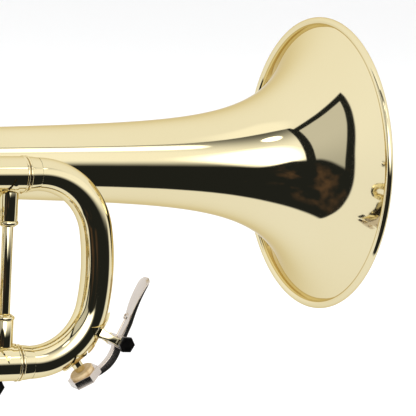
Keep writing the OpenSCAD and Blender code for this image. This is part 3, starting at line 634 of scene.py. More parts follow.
def slide_leg(solid, x_in, x_ferrule, x_end, origin, direction):
    """Inner tube with a ferrule between two rings; distances run along the direction."""
    r, edge_r = FERRULE_R - 0.5 * MM, FERRULE_R - 0.55 * MM
    outside = [(x_in, INNER_R), (x_ferrule, INNER_R), (x_ferrule, edge_r)]
    outside += bead(x_ferrule + 0.75 * MM, r, 1.3 * MM, 0.5 * MM) + [((x_ferrule + x_end) / 2, r)]
    outside += bead(x_end - 0.75 * MM, r, 1.3 * MM, 0.5 * MM) + [(x_end, edge_r)]
    solid.grid(lathe_rows(hollow(outside, BORE_R, None, 0.1 * MM), origin, direction, 96), closed=True)


def make_main_slide():
    x = low("main_slide_bow", "x")
    z_top, z_bottom = high("main_slide_bow", "z") - TUBE_R, low("main_slide_bow", "z") + TUBE_R
    tube("main_slide_bow", "main_slide", bow_path(x, z_top, z_bottom), steady(TUBE_R), steady(BORE_R),
         segments=96)
    solid = Solid()
    x0 = high("upper_slide_sleeve", "x") + 0.3 * MM
    r = SLEEVE_R - 0.1 * MM
    outside = [(low("main_slide_tubes", "x"), INNER_R), (x0, INNER_R), (x0, r)]
    outside += bead(x0 + 0.5 * MM, r, 0.9 * MM, 0.35 * MM) + run(x0, r, (1.2, 0), (2.4, -0.06))
    outside += run(x, TUBE_R, (-0.6, 0.06), (0, 0))
    loop = hollow(outside, BORE_R, None, 0.1 * MM)
    for z in (z_top, z_bottom):
        solid.grid(lathe_rows(loop, (0, LEAD_Y, z), (1, 0, 0), 96), closed=True)
    solid.finish("main_slide_tubes", "main_slide")


# ---------------------------------------------------------------- water keys

CORK_R = 4.9 * MM
CORK_H = 4.0 * MM
CORK_GAP = 0.15 * MM
NIPPLE_H = 4.4 * MM
EAR_IN = 5.0 * MM      # the ears' inner faces, from the middle
EAR_W = 1.8 * MM
EAR_R = 2.4 * MM
EAR_OUT = EAR_IN + EAR_W
SCREW_R = 1.3 * MM
SCREW_HOLE = 1.36 * MM
PADDLE_WAIST = 0.3     # share of the paddle's length where it starts to widen
PADDLE_TIP = 0.85      # share of the rest where its tip starts to round off
LATERAL = Vector((0, 1, 0))


def ray(angle):
    """Direction in the plane of a slide, in degrees from +X towards +Z."""
    a = math.radians(angle)
    return Vector((math.cos(a), 0, math.sin(a)))


def add_seat(solid, c, bend_r, nipple_at, hinge_at, hinge_out, hinge):
    """Two feet on the tube, the nipple, and two ears around the screw."""
    hinge_ray, nipple_ray = ray(hinge_at), ray(nipple_at)
    tube_at, along = c + hinge_ray * bend_r, ray(hinge_at + 90)
    foot = 0.55 * MM
    patch(solid, tube_at, along, hinge_ray, TUBE_R, 9.0 * MM, 10.5 * MM, foot, power=0.85)
    patch(solid, c + nipple_ray * bend_r, ray(nipple_at + 90), nipple_ray, TUBE_R, 6.0 * MM, 7.4 * MM, foot,
          power=1.1)
    loop = run(0, 0, (-0.5, 2.6), (1.0, 2.1)) + run(NIPPLE_H, 0, (0, 1.95), (0, 1.5)) + run(0, 0, (-0.5, 1.5))
    surface = c + nipple_ray * (bend_r + TUBE_R)
    solid.grid(lathe_rows(rounded(loop, 0.12 * MM), surface, nipple_ray, 40), closed=True)
    for side in (-1, 1):
        y = side * (EAR_IN + EAR_W / 2)
        root = side * (EAR_IN + EAR_W / 2 - 0.5 * MM)
        places = ((-1.2 * MM, root * 0.62), (0.6 * MM, root * 0.80), (2.0 * MM, root * 0.96),
                  (hinge_out * 0.55, root), (hinge_out - 1.9 * MM, y))
        path = [tube_at + hinge_ray * (TUBE_R + out) + LATERAL * across for out, across in places]
        widths = [w * MM for w in (4.8, 3.6, 2.9, 2.7, 2.9)]
        solid.grid(bar_rows(path, widths, [2.6 * MM] * 3 + [2.5 * MM, EAR_W], along, corner=0.3))
        eye = [(-EAR_W / 2, EAR_R), (EAR_W / 2, EAR_R), (EAR_W / 2, SCREW_HOLE), (-EAR_W / 2, SCREW_HOLE)]
        solid.grid(lathe_rows(rounded(eye, 0.3 * MM), hinge + LATERAL * y, LATERAL, 48), closed=True)


def add_screw(solid, hinge):
    """End of the screw beyond the far ear, and its six-sided head at the near one."""
    def beyond(side, out):
        return hinge + LATERAL * side * (EAR_OUT + out * MM)

    solid.grid(rod_rows(beyond(-1, 0.2), beyond(1, 0.6), SCREW_R))
    solid.grid(prism_rows(beyond(-1, 2.5), beyond(-1, 0.3), 6, 3.35 * MM, turn=0.04, chamfer=0.4 * MM))


def add_cup(solid, origin, axis):
    """Six-sided cup with two of its corners on the lateral line and a round hole for the cork."""
    across = axis.cross(LATERAL)
    flat = CORK_R + 0.95 * MM
    inside = CORK_R + 0.03 * MM
    outside = run(0, flat, (-2.6, -0.1), (-2.5, 0), (0.5, 0), (0.75, -0.15), (1.2, -1.6))
    hole = run(0, flat, (1.3, -2.0)) + run(0, 0, (1.3, 0.4), (0.1, 0.4)) + run(0, inside, (0.1, 0), (-2.6, 0))
    rows = []
    for k in range(96):
        a = TURN * k / 96
        corner = 1 / math.cos((a % (TURN / 6)) - TURN / 12)
        spoke = LATERAL * math.cos(a) + across * math.sin(a)
        rows.append([origin + axis * along + spoke * (r * corner) for along, r in outside]
                    + [origin + axis * along + spoke * r for along, r in hole])
    solid.grid(rows, closed=True)


def add_arm(solid, landing, hinge, back_at):
    """Curved arm from the cup to the barrel, leaving the barrel opposite to the direction back_at."""
    leaving = hinge - ray(back_at) * 1.0 * MM
    pull = hinge - ray(back_at) * 0.52 * (hinge - landing).length
    steps = 18
    shares = [k / steps for k in range(steps + 1)]
    path = [landing * (1 - t) ** 2 + pull * (2 * t * (1 - t)) + leaving * t * t for t in shares]
    depths = [(2.2 + 1.2 * min(1.0, 2.2 * t)) * MM for t in shares]
    solid.grid(bar_rows(path, [3.1 * MM] * len(path), depths, LATERAL, corner=0.2))


def add_paddle(solid, hinge, up, out, length):
    """Dished paddle that widens from its waist to a rounded tip."""
    path, widths, thicknesses = [], [], []
    for k in range(25):
        t = k / 24
        s = max(0.0, (t - PADDLE_WAIST) / (1 - PADDLE_WAIST))
        path.append(hinge + up * (length * t) + out * (1.2 * MM - 0.9 * MM * math.sin(math.pi * s)))
        if t <= PADDLE_WAIST:
            widths.append(3.6 * MM + 1.2 * MM * (t / PADDLE_WAIST) ** 2)
        elif s < PADDLE_TIP:
            widths.append(4.8 * MM + 3.3 * MM * math.sin(math.pi / 2 * s / PADDLE_TIP))
        else:
            widths.append(8.1 * MM * math.sqrt(max(0.1, 1 - ((s - PADDLE_TIP) / 0.16) ** 2)))
        thicknesses.append(2.6 * MM - 1.7 * MM * min(1.0, t / 0.8))
    solid.grid(bar_rows(path, widths, thicknesses, LATERAL, corner=0.5))


def add_spring_leg(solid, hinge, up, out):
    """Spring's leg along the paddle's back, ending in an eye."""
    eye = hinge + up * 10.2 * MM - out * 1.6 * MM - LATERAL * 1.5 * MM
    leg = [hinge - out * 2.4 * MM - LATERAL * 2.2 * MM,
           hinge + up * 5 * MM - out * 2.0 * MM - LATERAL * 2.0 * MM]
    solid.grid(wire_rows(leg + arc(eye, LATERAL, up, 1.15 * MM, 250, -60, 20), 0.33 * MM))


def make_water_key(prefix, slide_body, key_body, centre, bend_r, nipple_at, hinge_at, hinge_out, paddle_len,
                   paddle_at, with_spring):
    """Seat, screw, spring, lever and cork around a bend whose centre is given."""
    c = Vector(centre)
    nipple_ray = ray(nipple_at)
    hinge = Vector((mid(f"{prefix}_screw", "x"), c.y, mid(f"{prefix}_screw", "z")))
    cork_at = bend_r + TUBE_R + NIPPLE_H

    solid = Solid()
    add_seat(solid, c, bend_r, nipple_at, hinge_at, hinge_out, hinge)
    solid.finish(f"{prefix}_seat", slide_body)

    solid = Solid()
    add_screw(solid, hinge)
    # The screw's near-black colour is painted shade.
    solid.finish(f"{prefix}_screw", slide_body, PAINTED_SHADE_SCREW, "screw_steel", sharp=25)

    if with_spring:
        coil = helix_rows(hinge - LATERAL * 4.6 * MM, LATERAL, 2.2 * MM, 0.34 * MM, 3.6, 0.78 * MM,
                          start=math.radians(200))
        Solid().grid(coil).finish(f"{prefix}_spring", slide_body, NICKEL, "spring_steel")

    solid = Solid()
    barrel = run(0, 0, (-1.7, 2.5), (4.6, 2.5)) + [(4.6 * MM, SCREW_HOLE), (-1.7 * MM, SCREW_HOLE)]
    solid.grid(lathe_rows(rounded(barrel, 0.3 * MM), hinge, LATERAL, 48), closed=True)
    add_cup(solid, c + nipple_ray * (cork_at + CORK_H + CORK_GAP), nipple_ray)
    landing = c + nipple_ray * (cork_at + CORK_H + 0.5 * MM) + ray(nipple_at + 90) * 1.5 * MM
    add_arm(solid, landing, hinge, paddle_at + 14)
    up, out = ray(paddle_at), ray(paddle_at - 90)
    add_paddle(solid, hinge, up, out, paddle_len)
    if with_spring:
        add_spring_leg(solid, hinge, up, out)
    solid.finish(f"{prefix}_lever", key_body, NICKEL, "nickel_silver", sharp=32)

    ends = (CORK_GAP, CORK_GAP + CORK_H)
    cork = [(ends[0], 0.3 * MM), (ends[0], CORK_R), (ends[1], CORK_R), (ends[1], 0.3 * MM)]
    lathe(f"{prefix}_cork", key_body, rounded(cork, 0.5 * MM), c + nipple_ray * cork_at, nipple_ray,
          CORK, "cork", segments=48)


def make_water_keys():
    x = low("main_slide_bow", "x")
    z = low("main_slide_bow", "z") + TUBE_R + CORNER_R
    make_water_key("main_water_key", "main_slide", "main_water_key", (x, LEAD_Y, z), CORNER_R,
                   -54, -28, 9.6 * MM, 27.5 * MM, 67.7, True)
    bend_r = 14 * MM
    crook_x = high("third_slide_crook", "x") - bend_r - TUBE_R
    crook_z = mid("third_slide_crook", "z")
    make_water_key("third_water_key", "third_slide", "third_water_key", (crook_x, VALVE_Y, crook_z), bend_r,
                   -74, -33, 9.5 * MM, 18 * MM, 67.7, False)


# ---------------------------------------------------------------- valve slides


STOP_X = -197.9 * MM       # middle of the plate that the stop rod runs through
STOP_HALF = 1 * MM
STOP_TRAVEL = 18.3 * MM    # from the plate to the rod's nut, with the third slide in


def make_valve_slide(word, n, turn, bend_r, reach):
    """Sleeves on the casing, inner tubes with ferrules, and the crook."""
    d = Vector((math.cos(math.radians(turn)), math.sin(math.radians(turn)), 0))
    centre = Vector((VALVE_X[n], VALVE_Y, 0))
    crook, body = f"{word}_slide_crook", f"{word}_slide"
    z_mid = mid(crook, "z")
    legs = (z_mid + bend_r, z_mid - bend_r)
    end = CASING_R + reach
    ferrule = end + 0.3 * MM
    bend_x = ferrule + 5 * MM if word != "third" else high(crook, "x") - bend_r - TUBE_R - VALVE_X[3]
    sleeves, tubes = Solid(), Solid()
    r = SLEEVE_R - 0.1 * MM
    outside = [(CASING_R - 4 * MM, r), (end - 2.0 * MM, r)] + bead(end - 0.9 * MM, r, 1.4 * MM, 0.35 * MM)
    loop = hollow(outside + [(end, r)], INNER_R + 0.05 * MM, None, 0.1 * MM)
    for z in legs:
        origin = centre + Vector((0, 0, z))
        sleeves.grid(lathe_rows(loop, origin, d, 80), closed=True)
        slide_leg(tubes, CASING_R + 1.5 * MM, ferrule, bend_x, origin, d)
    if word == "third":
        for sign in (1, -1):
            heights = (bend_r - SLEEVE_R + 0.3 * MM, 3 * MM, 1.5 * MM)
            path = [(STOP_X, VALVE_Y, z_mid + sign * h) for h in heights]
            sleeves.grid(bar_rows(path, [5 * MM, 3.4 * MM, 3.4 * MM], [2 * STOP_HALF] * 3, (0, 1, 0)))
        eye = rounded(run(0, 0, (-1, 2.4), (1, 2.4), (1, 1.3), (-1, 1.3)), 0.25 * MM)
        sleeves.grid(lathe_rows(eye, (STOP_X, VALVE_Y, z_mid), (1, 0, 0), 32), closed=True)
    made = sleeves.finish(f"{word}_slide_sleeves", "horn")
    meet_casing(made, n, "y" if word == "second" else "x")
    tubes.finish(f"{word}_slide_tubes", body)
    path = arc(centre + d * bend_x + Vector((0, 0, z_mid)), d, (0, 0, 1), bend_r, 90, -90, 56)
    tube(crook, body, path, steady(TUBE_R), steady(BORE_R), segments=80)


def make_ring_and_saddle():
    x, z = mid("finger_ring", "x"), high("finger_ring", "z") - 12.4 * MM
    solid = Solid()
    path = arc((x, VALVE_Y, z), (1, 0, 0), (0, 0, 1), 11.3 * MM, -90, 270, 72)
    rows = bar_rows(path[:-1], [4.6 * MM] * 72, [2.0 * MM] * 72, (0, 1, 0), corner=0.8, steps=7)
    solid.grid(rows, closed=True)
    foot = [(x, VALVE_Y, z - 12.0 * MM), (x, VALVE_Y, z - 13.6 * MM)]
    solid.grid(bar_rows(foot, [4.4 * MM, 5.4 * MM], [4.4 * MM, 7.0 * MM], (0, 1, 0)))
    solid.finish("finger_ring", "third_slide")

    x = mid("thumb_saddle", "x")
    top = high("thumb_saddle", "z")
    centre_z, r = top - 5 * MM, 8.75 * MM
    bow = arc((x, VALVE_Y, centre_z), (1, 0, 0), (0, 0, 1), r, 180, 360, 40)
    path = [(x - r, VALVE_Y, top), (x - r, VALVE_Y, top - 2.5 * MM)] + bow
    path += [(x + r, VALVE_Y, top - 2.5 * MM), (x + r, VALVE_Y, top)]
    count = len(path)
    widths = [6 * MM, 9 * MM] + [10 * MM] * (count - 4) + [9 * MM, 6 * MM]
    solid = Solid()
    solid.grid(bar_rows(path, widths, [1.5 * MM] * count, (0, 1, 0), corner=0.8, steps=6))
    foot = [(x, VALVE_Y, centre_z - r - 0.2 * MM), (x, VALVE_Y, low("thumb_saddle", "z") + 1.2 * MM)]
    solid.grid(bar_rows(foot, [4 * MM, 5 * MM], [4.5 * MM, 6 * MM], (0, 1, 0)))
    solid.finish("thumb_saddle", "first_slide")


def knurl(count, depth, start, end):
    """Wave for a knurled band between two places along the axis."""

    def wave(along, angle):
        if not start < along < end:
            return 0.0
        return depth * (0.5 + 0.5 * math.cos(count * angle)) - depth

    return wave


def make_stop_rod():
    x0, x1 = low("stop_rod", "x"), high("stop_rod", "x")
    z = mid("stop_rod", "z")
    solid = Solid()
    solid.grid(rod_rows((x0, VALVE_Y, z), (x1 - 1.5 * MM, VALVE_Y, z), 1.2 * MM, 32))
    nut = high("stop_rod", "z") - z
    grooved = run(0, nut, (0, -0.5), (0.4, 0), (1.6, 0), (2.0, -0.5), (2.4, 0), (3.6, 0), (4, -0.5))
    loop = rounded(run(0, 0, (0, 1.22)) + grooved + run(0, 0, (4, 1.22)), 0.08 * MM)
    nut_x = STOP_X - STOP_HALF - STOP_TRAVEL - 4 * MM
    wave = knurl(24, 0.25 * MM, 0.3 * MM, 3.7 * MM)
    solid.grid(lathe_rows(loop, (nut_x, VALVE_Y, z), (1, 0, 0), 120, wave), closed=True)
    solid.finish("stop_rod", "third_slide", NICKEL, "nickel_silver")


# ---------------------------------------------------------------- valve section


def make_casing(n):
    t, b = CASING_TOP, CASING_BOTTOM
    r = CASING_R
    rings = [bead(along, r + 0.3 * MM, 1.5 * MM, 0.35 * MM) for along in (b + 9.8 * MM, t - 9.8 * MM)]
    outside = run(b, r, (0, 0), (8.6, 0), (8.8, 0.35)) + rings[0] + run(b, r, (10.8, 0.1), (11.2, 0))
    outside += run(t, r, (-11.2, 0), (-10.8, 0.1)) + rings[1] + run(t, r, (-8.8, 0.3), (-8.6, 0), (0, 0))
    loop = hollow(outside, CASING_IN, None, 0.1 * MM)
    lathe(f"valve_casing_{n}", "horn", loop, (VALVE_X[n], VALVE_Y, 0), (0, 0, 1), segments=128)


CAP_R = 11.1 * MM
CAP_SKIRT = 7 * MM     # how far a cap reaches over its casing


def add_cap(solid, crown, hole_r, origin, direction):
    """Cap with a knurled skirt; the crown's outline runs outwards from the casing's end."""
    ridge = [(-CAP_SKIRT + (1.3 + 0.3 * k) * MM, CAP_R + 0.5 * MM) for k in range(13)]
    outside = run(-CAP_SKIRT, CAP_R, (0, -0.2), (1.0, -0.2)) + ridge + run(-CAP_SKIRT, CAP_R, (5.3, -0.2))
    wall = CASING_R + 0.05 * MM
    inside = [(crown[-1][0], hole_r), (0.0, hole_r), (0.0, wall), (-CAP_SKIRT, wall)]
    loop = rounded(outside + crown + inside, 0.1 * MM)
    wave = knurl(72, 0.35 * MM, -CAP_SKIRT + 1.35 * MM, -CAP_SKIRT + 5.2 * MM)
    rows = lathe_rows(loop, origin, direction, 288)
    for row, waved in zip(rows, lathe_rows(loop, origin, direction, 288, wave)):
        for k, (_, radius) in enumerate(loop):
            if radius > CAP_R:
                row[k] = waved[k]
    solid.grid(rows, closed=True)


def make_caps():
    upper = run(0, CAP_R, (1.6, -0.3), (2.6, -1.0), (3.4, -3.0))
    upper += run(0, 0, (4.0, 6.6), (4.4, 5.6), (5.4, 4.4))
    lower = run(0, CAP_R, (1.6, -0.3), (2.6, -0.8), (4.0, -2.2))
    lower += run(0, 0, (4.5, 6.8), (6.4, 4.6), (6.5, 4.0))
    top, bottom = Solid(), Solid()
    for x in VALVE_X.values():
        add_cap(top, upper, 2.6 * MM, (x, VALVE_Y, CASING_TOP), (0, 0, 1))
        add_cap(bottom, lower, 1.6 * MM, (x, VALVE_Y, CASING_BOTTOM), (0, 0, -1))
    top.finish("top_caps", "horn")
    bottom.finish("bottom_caps", "horn")


def make_knuckles():
    inset = CASING_R - 3 * MM
    for n, z in ((1, -74 * MM), (2, -64 * MM)):
        x0, x1 = VALVE_X[n] + inset, VALVE_X[n + 1] - inset
        loop = hollow([(x0, TUBE_R), ((x0 + x1) / 2, TUBE_R), (x1, TUBE_R)], BORE_R, None, 0.0)
        made = lathe(f"valve_knuckle_{n}", "horn", loop, (0, VALVE_Y, z), (1, 0, 0),
                     replaces=["valve_knuckles"])
        meet_casing(made, n)
        meet_casing(made, n + 1)


def make_valve_top(n):
    body = f"valve_{n}"
    at = Vector((VALVE_X[n], VALVE_Y, 0))
    stem = low(f"valve_stem_{n}", "z"), high(f"valve_stem_{n}", "z")
    solid = Solid().grid(rod_rows(at + Vector((0, 0, stem[0])), at + Vector((0, 0, stem[1])), 2.25 * MM))
    solid.finish(f"valve_stem_{n}", body, NICKEL, "nickel_silver")
    z0 = low(f"finger_button_{n}", "z")
    r = half(f"finger_button_{n}", "x")
    bottom = at + Vector((0, 0, z0))
    outside = run(0, 0, (0, 2.3), (0, 4.6), (0.5, 5.4))
    outside += run(0, r, (1.4, -0.5), (2.0, 0), (3.1, 0), (3.6, -0.5))
    inside = run(0, r, (3.55, -0.95), (2.45, -1.0)) + run(0, 0, (2.45, 0.4), (1.45, 0.4), (1.45, 2.3))
    loop = rounded(outside + inside, 0.15 * MM)
    lathe(f"finger_button_{n}", body, loop, bottom, (0, 0, 1), BRASS, "button_brass", segments=96)
    pearl_r = r - 1.08 * MM
    dome = [(2.47 * MM, 0.05 * MM), (2.47 * MM, pearl_r)]
    dome += [(3.2 * MM + 0.35 * MM * (1 - (q / 8) ** 2), pearl_r * q / 8) for q in range(8, 0, -1)]
    dome += [(3.55 * MM, 0.05 * MM)]
    lathe(f"button_pearl_{n}", body, dome, bottom, (0, 0, 1), PEARL, "button_brass", replaces=[], segments=72)
    f0, f1 = low(f"button_felt_{n}", "z"), high(f"button_felt_{n}", "z")
    felt = rounded([(f0, 2.32 * MM), (f0, 5.0 * MM), (f1, 5.0 * MM), (f1, 2.32 * MM)], 0.5 * MM)
    made = lathe(f"button_felt_{n}", body, felt, at, (0, 0, 1), FELT, "felt", segments=64)


# ---------------------------------------------------------------- braces, hook, mouthpiece


def make_cross_brace(name, lead_r):
    x = mid(name, "x")
    bell_r = bell_radius(-x)
    solid = Solid()
    y0, y1 = LEAD_Y + lead_r, -bell_r
    solid.grid(rod_rows((x, y0 + 1 * MM, 0), (x, y1 - 1 * MM, 0), 1.9 * MM))
    outside = run(0, 0, (-0.6, 3.5), (0.9, 3.1), (3.4, 2.9)) + bead(4.3 * MM, 2.8 * MM, 1.2 * MM, 0.4 * MM)
    loop = hollow(outside + run(0, 0, (5.0, 2.4)), 1.92 * MM, None, 0.15 * MM)
    for y, sign in ((y0, 1), (y1, -1)):
        solid.grid(lathe_rows(loop, (x, y, 0), (0, sign, 0), 48), closed=True)
    patch(solid, (x, LEAD_Y, 0), (1, 0, 0), (0, 1, 0), lead_r, 7.5 * MM, 7.0 * MM, 0.5 * MM, power=1.2)
    patch(solid, (x, 0, 0), (1, 0, 0), (0, -1, 0), bell_r + 0.1 * MM, 7.5 * MM, 7.5 * MM, 0.5 * MM, power=1.2)
    solid.finish(name, "horn")


def make_finger_hook():
    x = high("finger_hook", "x") - 11 * MM
    z_foot = INNER_R
    centre_z = high("finger_hook", "z") - 11 * MM
    r = 10.1 * MM
    path = arc((x, LEAD_Y, centre_z), (1, 0, 0), (0, 0, 1), r, -112, 148, 60)
    count = len(path)
    widths = [7 * MM - 2.0 * MM * (k / (count - 1)) ** 2 for k in range(count)]
    widths[-1] = 3.4 * MM
    solid = Solid()
    solid.grid(bar_rows(path, widths, [1.7 * MM] * count, (0, 1, 0), corner=0.85, steps=6))
    patch(solid, (x, LEAD_Y, 0), (1, 0, 0), (0, 0, 1), z_foot, 9 * MM, 6.5 * MM, 0.6 * MM, power=1.3)
    neck = [(x, LEAD_Y, z_foot - 0.6 * MM), (x, LEAD_Y, centre_z - r + 0.3 * MM)]
    solid.grid(bar_rows(neck, [5 * MM, 5 * MM], [8 * MM, 7 * MM], (0, 1, 0)))
    solid.finish("finger_hook", "horn")


def smooth_run(knots, steps=8):
    """Catmull-Rom curve through (along, radius) knots."""
    out = []
    for i in range(len(knots) - 1):
        p0, p1 = knots[max(0, i - 1)], knots[i]
        p2, p3 = knots[i + 1], knots[min(len(knots) - 1, i + 2)]
        for k in range(steps):
            t = k / steps
            t2, t3 = t ** 2, t ** 3
            weights = (2 * t2 - t - t3, 2 - 5 * t2 + 3 * t3, t + 4 * t2 - 3 * t3, t3 - t2)
            spans = zip(p0, p1, p2, p3)
            out.append(tuple(sum(w * v for w, v in zip(weights, span)) / 2 for span in spans))
    return out + [knots[-1]]


def make_mouthpiece():
    x_tip, x_rim = high("mouthpiece", "x"), low("mouthpiece", "x")
    length = x_tip - x_rim
    shank_in = 22 * MM
    rim_r = half("mouthpiece", "z")
    outside = run(0, 0, (0, 4.6), (0.3, 4.88)) + run(shank_in, 0, (0, 4.9))
    outside += smooth_run(run(shank_in, 0, (1, 4.9), (12, 5.1))
                          + run(length, 0, (-32, 5.3), (-27, 6.2), (-21, 9.4), (-15, 11.0))
                          + run(length, 0, (-10, 11.3), (-7.4, 11.6)))
    outside += smooth_run(run(length, 0, (-6.4, 12.4))
                          + run(length, rim_r, (-5.0, -0.2), (-3.6, 0), (-1.4, -0.3), (-0.3, -1.5), (0, -2.9))
                          + run(length, 0, (-0.35, 9.1), (-1.4, 8.4)))
    outside += smooth_run(run(length, 0, (-2.4, 8.1), (-6, 7.0), (-10, 4.6), (-12.5, 2.4), (-14, 1.9)))
    outside += run(length, 0, (-19, 1.9)) + run(0, 0, (0, 4.2))
    loop = [(-along, r) for along, r in outside]
    lathe("mouthpiece", "mouthpiece", loop, (x_tip, LEAD_Y, 0), (1, 0, 0), SILVER, "silver_plate",
          segments=128, sharp=50)


# ---------------------------------------------------------------- build

make_bell()
make_bell_bow()
make_leadpipe()
make_main_sleeves()
make_slide_brace()
make_main_slide()
make_water_keys()
make_valve_slide("first", 1, 180, 12 * MM, 22 * MM)
make_valve_slide("second", 2, -90, 12 * MM, 14 * MM)
make_valve_slide("third", 3, 0, 14 * MM, 35 * MM)
make_ring_and_saddle()
make_stop_rod()
for valve in (1, 2, 3):
    make_casing(valve)
    make_valve_top(valve)
make_caps()
make_knuckles()
make_cross_brace("bell_brace_front", SLEEVE_R)
make_cross_brace("bell_brace_rear", 5.75 * MM)
make_finger_hook()
make_mouthpiece()

for name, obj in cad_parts.items():
    if not obj.hide_render:
        obj.data.materials.clear()
        obj.data.materials.append(NICKEL)

# ---------------------------------------------------------------- stage, light and camera


def make_floor():
    mesh = bpy.data.meshes.new("floor")
    size, z = 12.0, cad_low.z - 0.004
    corners = [(-size, -size, z), (size, -size, z), (size, size, z), (-size, size, z)]
    mesh.from_pydata(corners, [], [(0, 1, 2, 3)])
    surface = bpy.data.materials.new("floor")
    surface.use_nodes = True
    shader = surface.node_tree.nodes["Principled BSDF"]
    shader.inputs["Base Color"].default_value = (0.93, 0.93, 0.93, 1.0)
    shader.inputs["Roughness"].default_value = 0.9
    mesh.materials.append(surface)
    floor = bpy.data.objects.new("floor", mesh)
    bpy.context.scene.collection.objects.link(floor)
    floor.visible_glossy = False


class Value:
    """A number worked out in a shader tree, written with ordinary operators."""

    def __init__(self, tree, socket):
        self.tree, self.socket = tree, socket

    def apply(self, operation, other=None):
        made = add_node(self.tree, "ShaderNodeMath", operation=operation)
        self.tree.links.new(self.socket, made.inputs[0])
        if isinstance(other, Value):
            self.tree.links.new(other.socket, made.inputs[1])
        elif other is not None:
            made.inputs[1].default_value = other
        return Value(self.tree, made.outputs[0])

    def __add__(self, other):
        return self.apply("ADD", other)

    def __sub__(self, other):
        return self.apply("SUBTRACT", other)

    def __mul__(self, other):
        return self.apply("MULTIPLY", other)

    def squared(self):
        return self * self

    def flipped(self):
        """One minus the value."""
        return self * -1.0 + 1.0

    def step(self, start, end):
        """Smooth step from 0 at start to 1 at end."""
        made = add_node(self.tree, "ShaderNodeMapRange", interpolation_type="SMOOTHSTEP")
        made.inputs["From Min"].default_value = start
        made.inputs["From Max"].default_value = end
        self.tree.links.new(self.socket, made.inputs["Value"])
        return Value(self.tree, made.outputs["Result"])

    def blend(self, other, factor):
        return self + (other - self) * factor

    def between(self, at_zero, at_one):
        """Number that runs from at_zero to at_one as the value runs from 0 to 1."""
        return self * (at_one - at_zero) + at_zero


ROOM_DARK = (0.016, 0.018, 0.019, 1.0)
ROOM_SHAPES = (0.13, 0.075, 0.045, 1.0)


def patch_of_light(turn, height, at_turn, at_height, wide, tall, soft):
    """1 inside an ellipse of directions, falling to 0 over its soft edge."""
    d = ((turn - at_turn) * (1 / wide)).squared() + ((height - at_height) * (1 / tall)).squared()
    return d.step(1.0, max(0.0, 1.0 - soft))


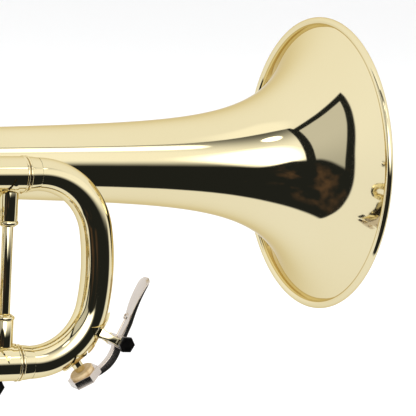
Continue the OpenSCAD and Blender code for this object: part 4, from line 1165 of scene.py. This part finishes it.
def make_world():
    """White tent around the horn, open on the camera's side, with two screens and lamps beyond it.

    Directions are in degrees: turn is 0 towards -Y and grows towards +X, height is 0 at the horizon.
    """
    world = bpy.data.worlds.new("studio")
    bpy.context.scene.world = world
    world.use_nodes = True
    tree = world.node_tree
    background = tree.nodes["Background"]
    direction = add_node(tree, "ShaderNodeTexCoord").outputs["Generated"]
    parts = add_node(tree, "ShaderNodeSeparateXYZ")
    tree.links.new(direction, parts.inputs[0])
    x, y, z = (Value(tree, parts.outputs[k]) for k in range(3))
    turn = x.apply("ARCTAN2", y * -1.0) * math.degrees(1)
    height = z.apply("ARCSINE") * math.degrees(1)

    # the opening: a top edge that arches over each half, a bottom edge, and a side that leans outwards
    left = turn.step(-41.0, -43.0)
    top_left = (turn + 55.0).squared() * -0.0055 + 53.0
    top_right = (turn + 12.0).squared() * -0.0052 + 60.0
    top = top_right.blend(top_left, left)
    bottom = turn.squared() * 0.003 - 66.0
    side = (height + 2.5).apply("MAXIMUM", 0.0).squared() * -0.016 - 74.0
    inside_top = (top - height).step(-0.8, 0.8)
    inside_side = (turn - side).step(-0.8, 0.8)
    opening = inside_top * inside_side * (height - bottom).step(-1.5, 2.5) * turn.step(75.0, 62.0)

    # what shows through it: a bright screen with a lamp and two spots, a dimmer one, and the post between
    right_screen = height.step(-5.0, 13.0) * height.step(28.0, 60.0).between(1.12, 0.11)
    lamp = patch_of_light(turn, height, -11.0, 15.0, 30.0, 21.0, 0.9) * 2.1
    spots = patch_of_light(turn, height, -18.0, 46.5, 10.0, 4.5, 0.5) * 2.4
    spots = spots + patch_of_light(turn, height, 26.0, 42.0, 12.0, 6.5, 0.5) * 1.6
    right_screen = right_screen + lamp + spots
    left_screen = height.step(-10.0, 30.0) * 0.22 + 0.42
    frame_left = (top - height).step(5.0, 6.0) * (turn - side).step(6.5, 7.5)
    screens = right_screen.blend(left_screen * frame_left, left)
    post = ((turn + 41.5).apply("ABSOLUTE")).step(4.4, 3.4)
    screens = screens * post.flipped()
    # below them the room is dark, with faint brown shapes in it
    floor_side = (height - ((turn + 38.0).apply("ABSOLUTE").step(38.0, 8.0) * 12.0 - 4.0)).step(2.0, -2.0)
    room = noise(tree, direction, 3.4, 3.0)
    shapes = Value(tree, room).step(0.50, 0.74) * floor_side
    shapes = shapes * (turn + 45.0).apply("ABSOLUTE").step(36.0, 16.0)
    shapes = shapes * (height + 20.0).apply("ABSOLUTE").step(30.0, 12.0) * 0.8
    beyond = screens * floor_side.flipped()

    # the tent itself, a little brighter overhead
    tent = height.step(-10.0, 20.0) * 0.07 + 0.93
    tent = tent + patch_of_light(turn, height, -10.0, 66.0, 50.0, 18.0, 0.8) * 0.16
    level = tent.blend(beyond, opening)

    mix = add_node(tree, "ShaderNodeMix", data_type="RGBA")
    mix.inputs["A"].default_value = ROOM_DARK
    mix.inputs["B"].default_value = ROOM_SHAPES
    tree.links.new((shapes * opening).socket, mix.inputs["Factor"])
    total = add_node(tree, "ShaderNodeMix", data_type="RGBA", blend_type="ADD")
    total.inputs["Factor"].default_value = 1.0
    grey = add_node(tree, "ShaderNodeCombineColor")
    for k in range(3):
        tree.links.new(level.socket, grey.inputs[k])
    tree.links.new(mix.outputs["Result"], total.inputs["A"])
    tree.links.new(grey.outputs[0], total.inputs["B"])
    tree.links.new(total.outputs["Result"], background.inputs["Color"])
    background.inputs["Strength"].default_value = 1.0


def area_light(name, place, target, size, power):
    data = bpy.data.lights.new(name, "AREA")
    data.shape = "SQUARE"
    data.size = size
    data.energy = power
    lamp = bpy.data.objects.new(name, data)
    bpy.context.scene.collection.objects.link(lamp)
    lamp.location = place
    lamp.rotation_mode = "QUATERNION"
    lamp.rotation_quaternion = (Vector(target) - Vector(place)).to_track_quat("-Z", "Y")
    lamp.visible_glossy = False


VIEW_TURN = 29.5       # degrees the bell's axis is turned from square to the view
VIEW_ROLL = 5.97       # degrees the horn is rolled about the bell's axis
DISTANCE = 1.1
LENS = 224.7
RIM_RIGHT = 0.2669     # where the mouth's centre falls, in frame widths right of and above the middle
RIM_UP = 0.1088


def make_camera():
    turn, roll = math.radians(VIEW_TURN), math.radians(VIEW_ROLL)
    right = Vector((math.cos(turn), -math.sin(turn) * math.cos(roll), math.sin(turn) * math.sin(roll)))
    up = Vector((0, math.sin(roll), math.cos(roll)))
    back = right.cross(up)
    data = bpy.data.cameras.new("camera")
    data.lens = LENS
    data.sensor_width = 36.0
    data.clip_start, data.clip_end = 0.05, 60.0
    camera = bpy.data.objects.new("camera", data)
    bpy.context.scene.collection.objects.link(camera)
    camera.location = back * DISTANCE
    square = Matrix((right, up, back)).transposed().to_quaternion()
    aim = Vector((RIM_RIGHT, RIM_UP, -LENS / data.sensor_width)).normalized()
    camera.rotation_mode = "QUATERNION"
    camera.rotation_quaternion = square @ aim.rotation_difference(Vector((0, 0, -1)))
    bpy.context.scene.camera = camera


make_floor()
make_world()
area_light("top_light", (0.4, -0.3, 2.2), (-0.2, 0.0, 0.0), 2.4, 26.0)
make_camera()
bpy.context.scene.view_settings.view_transform = "Standard"
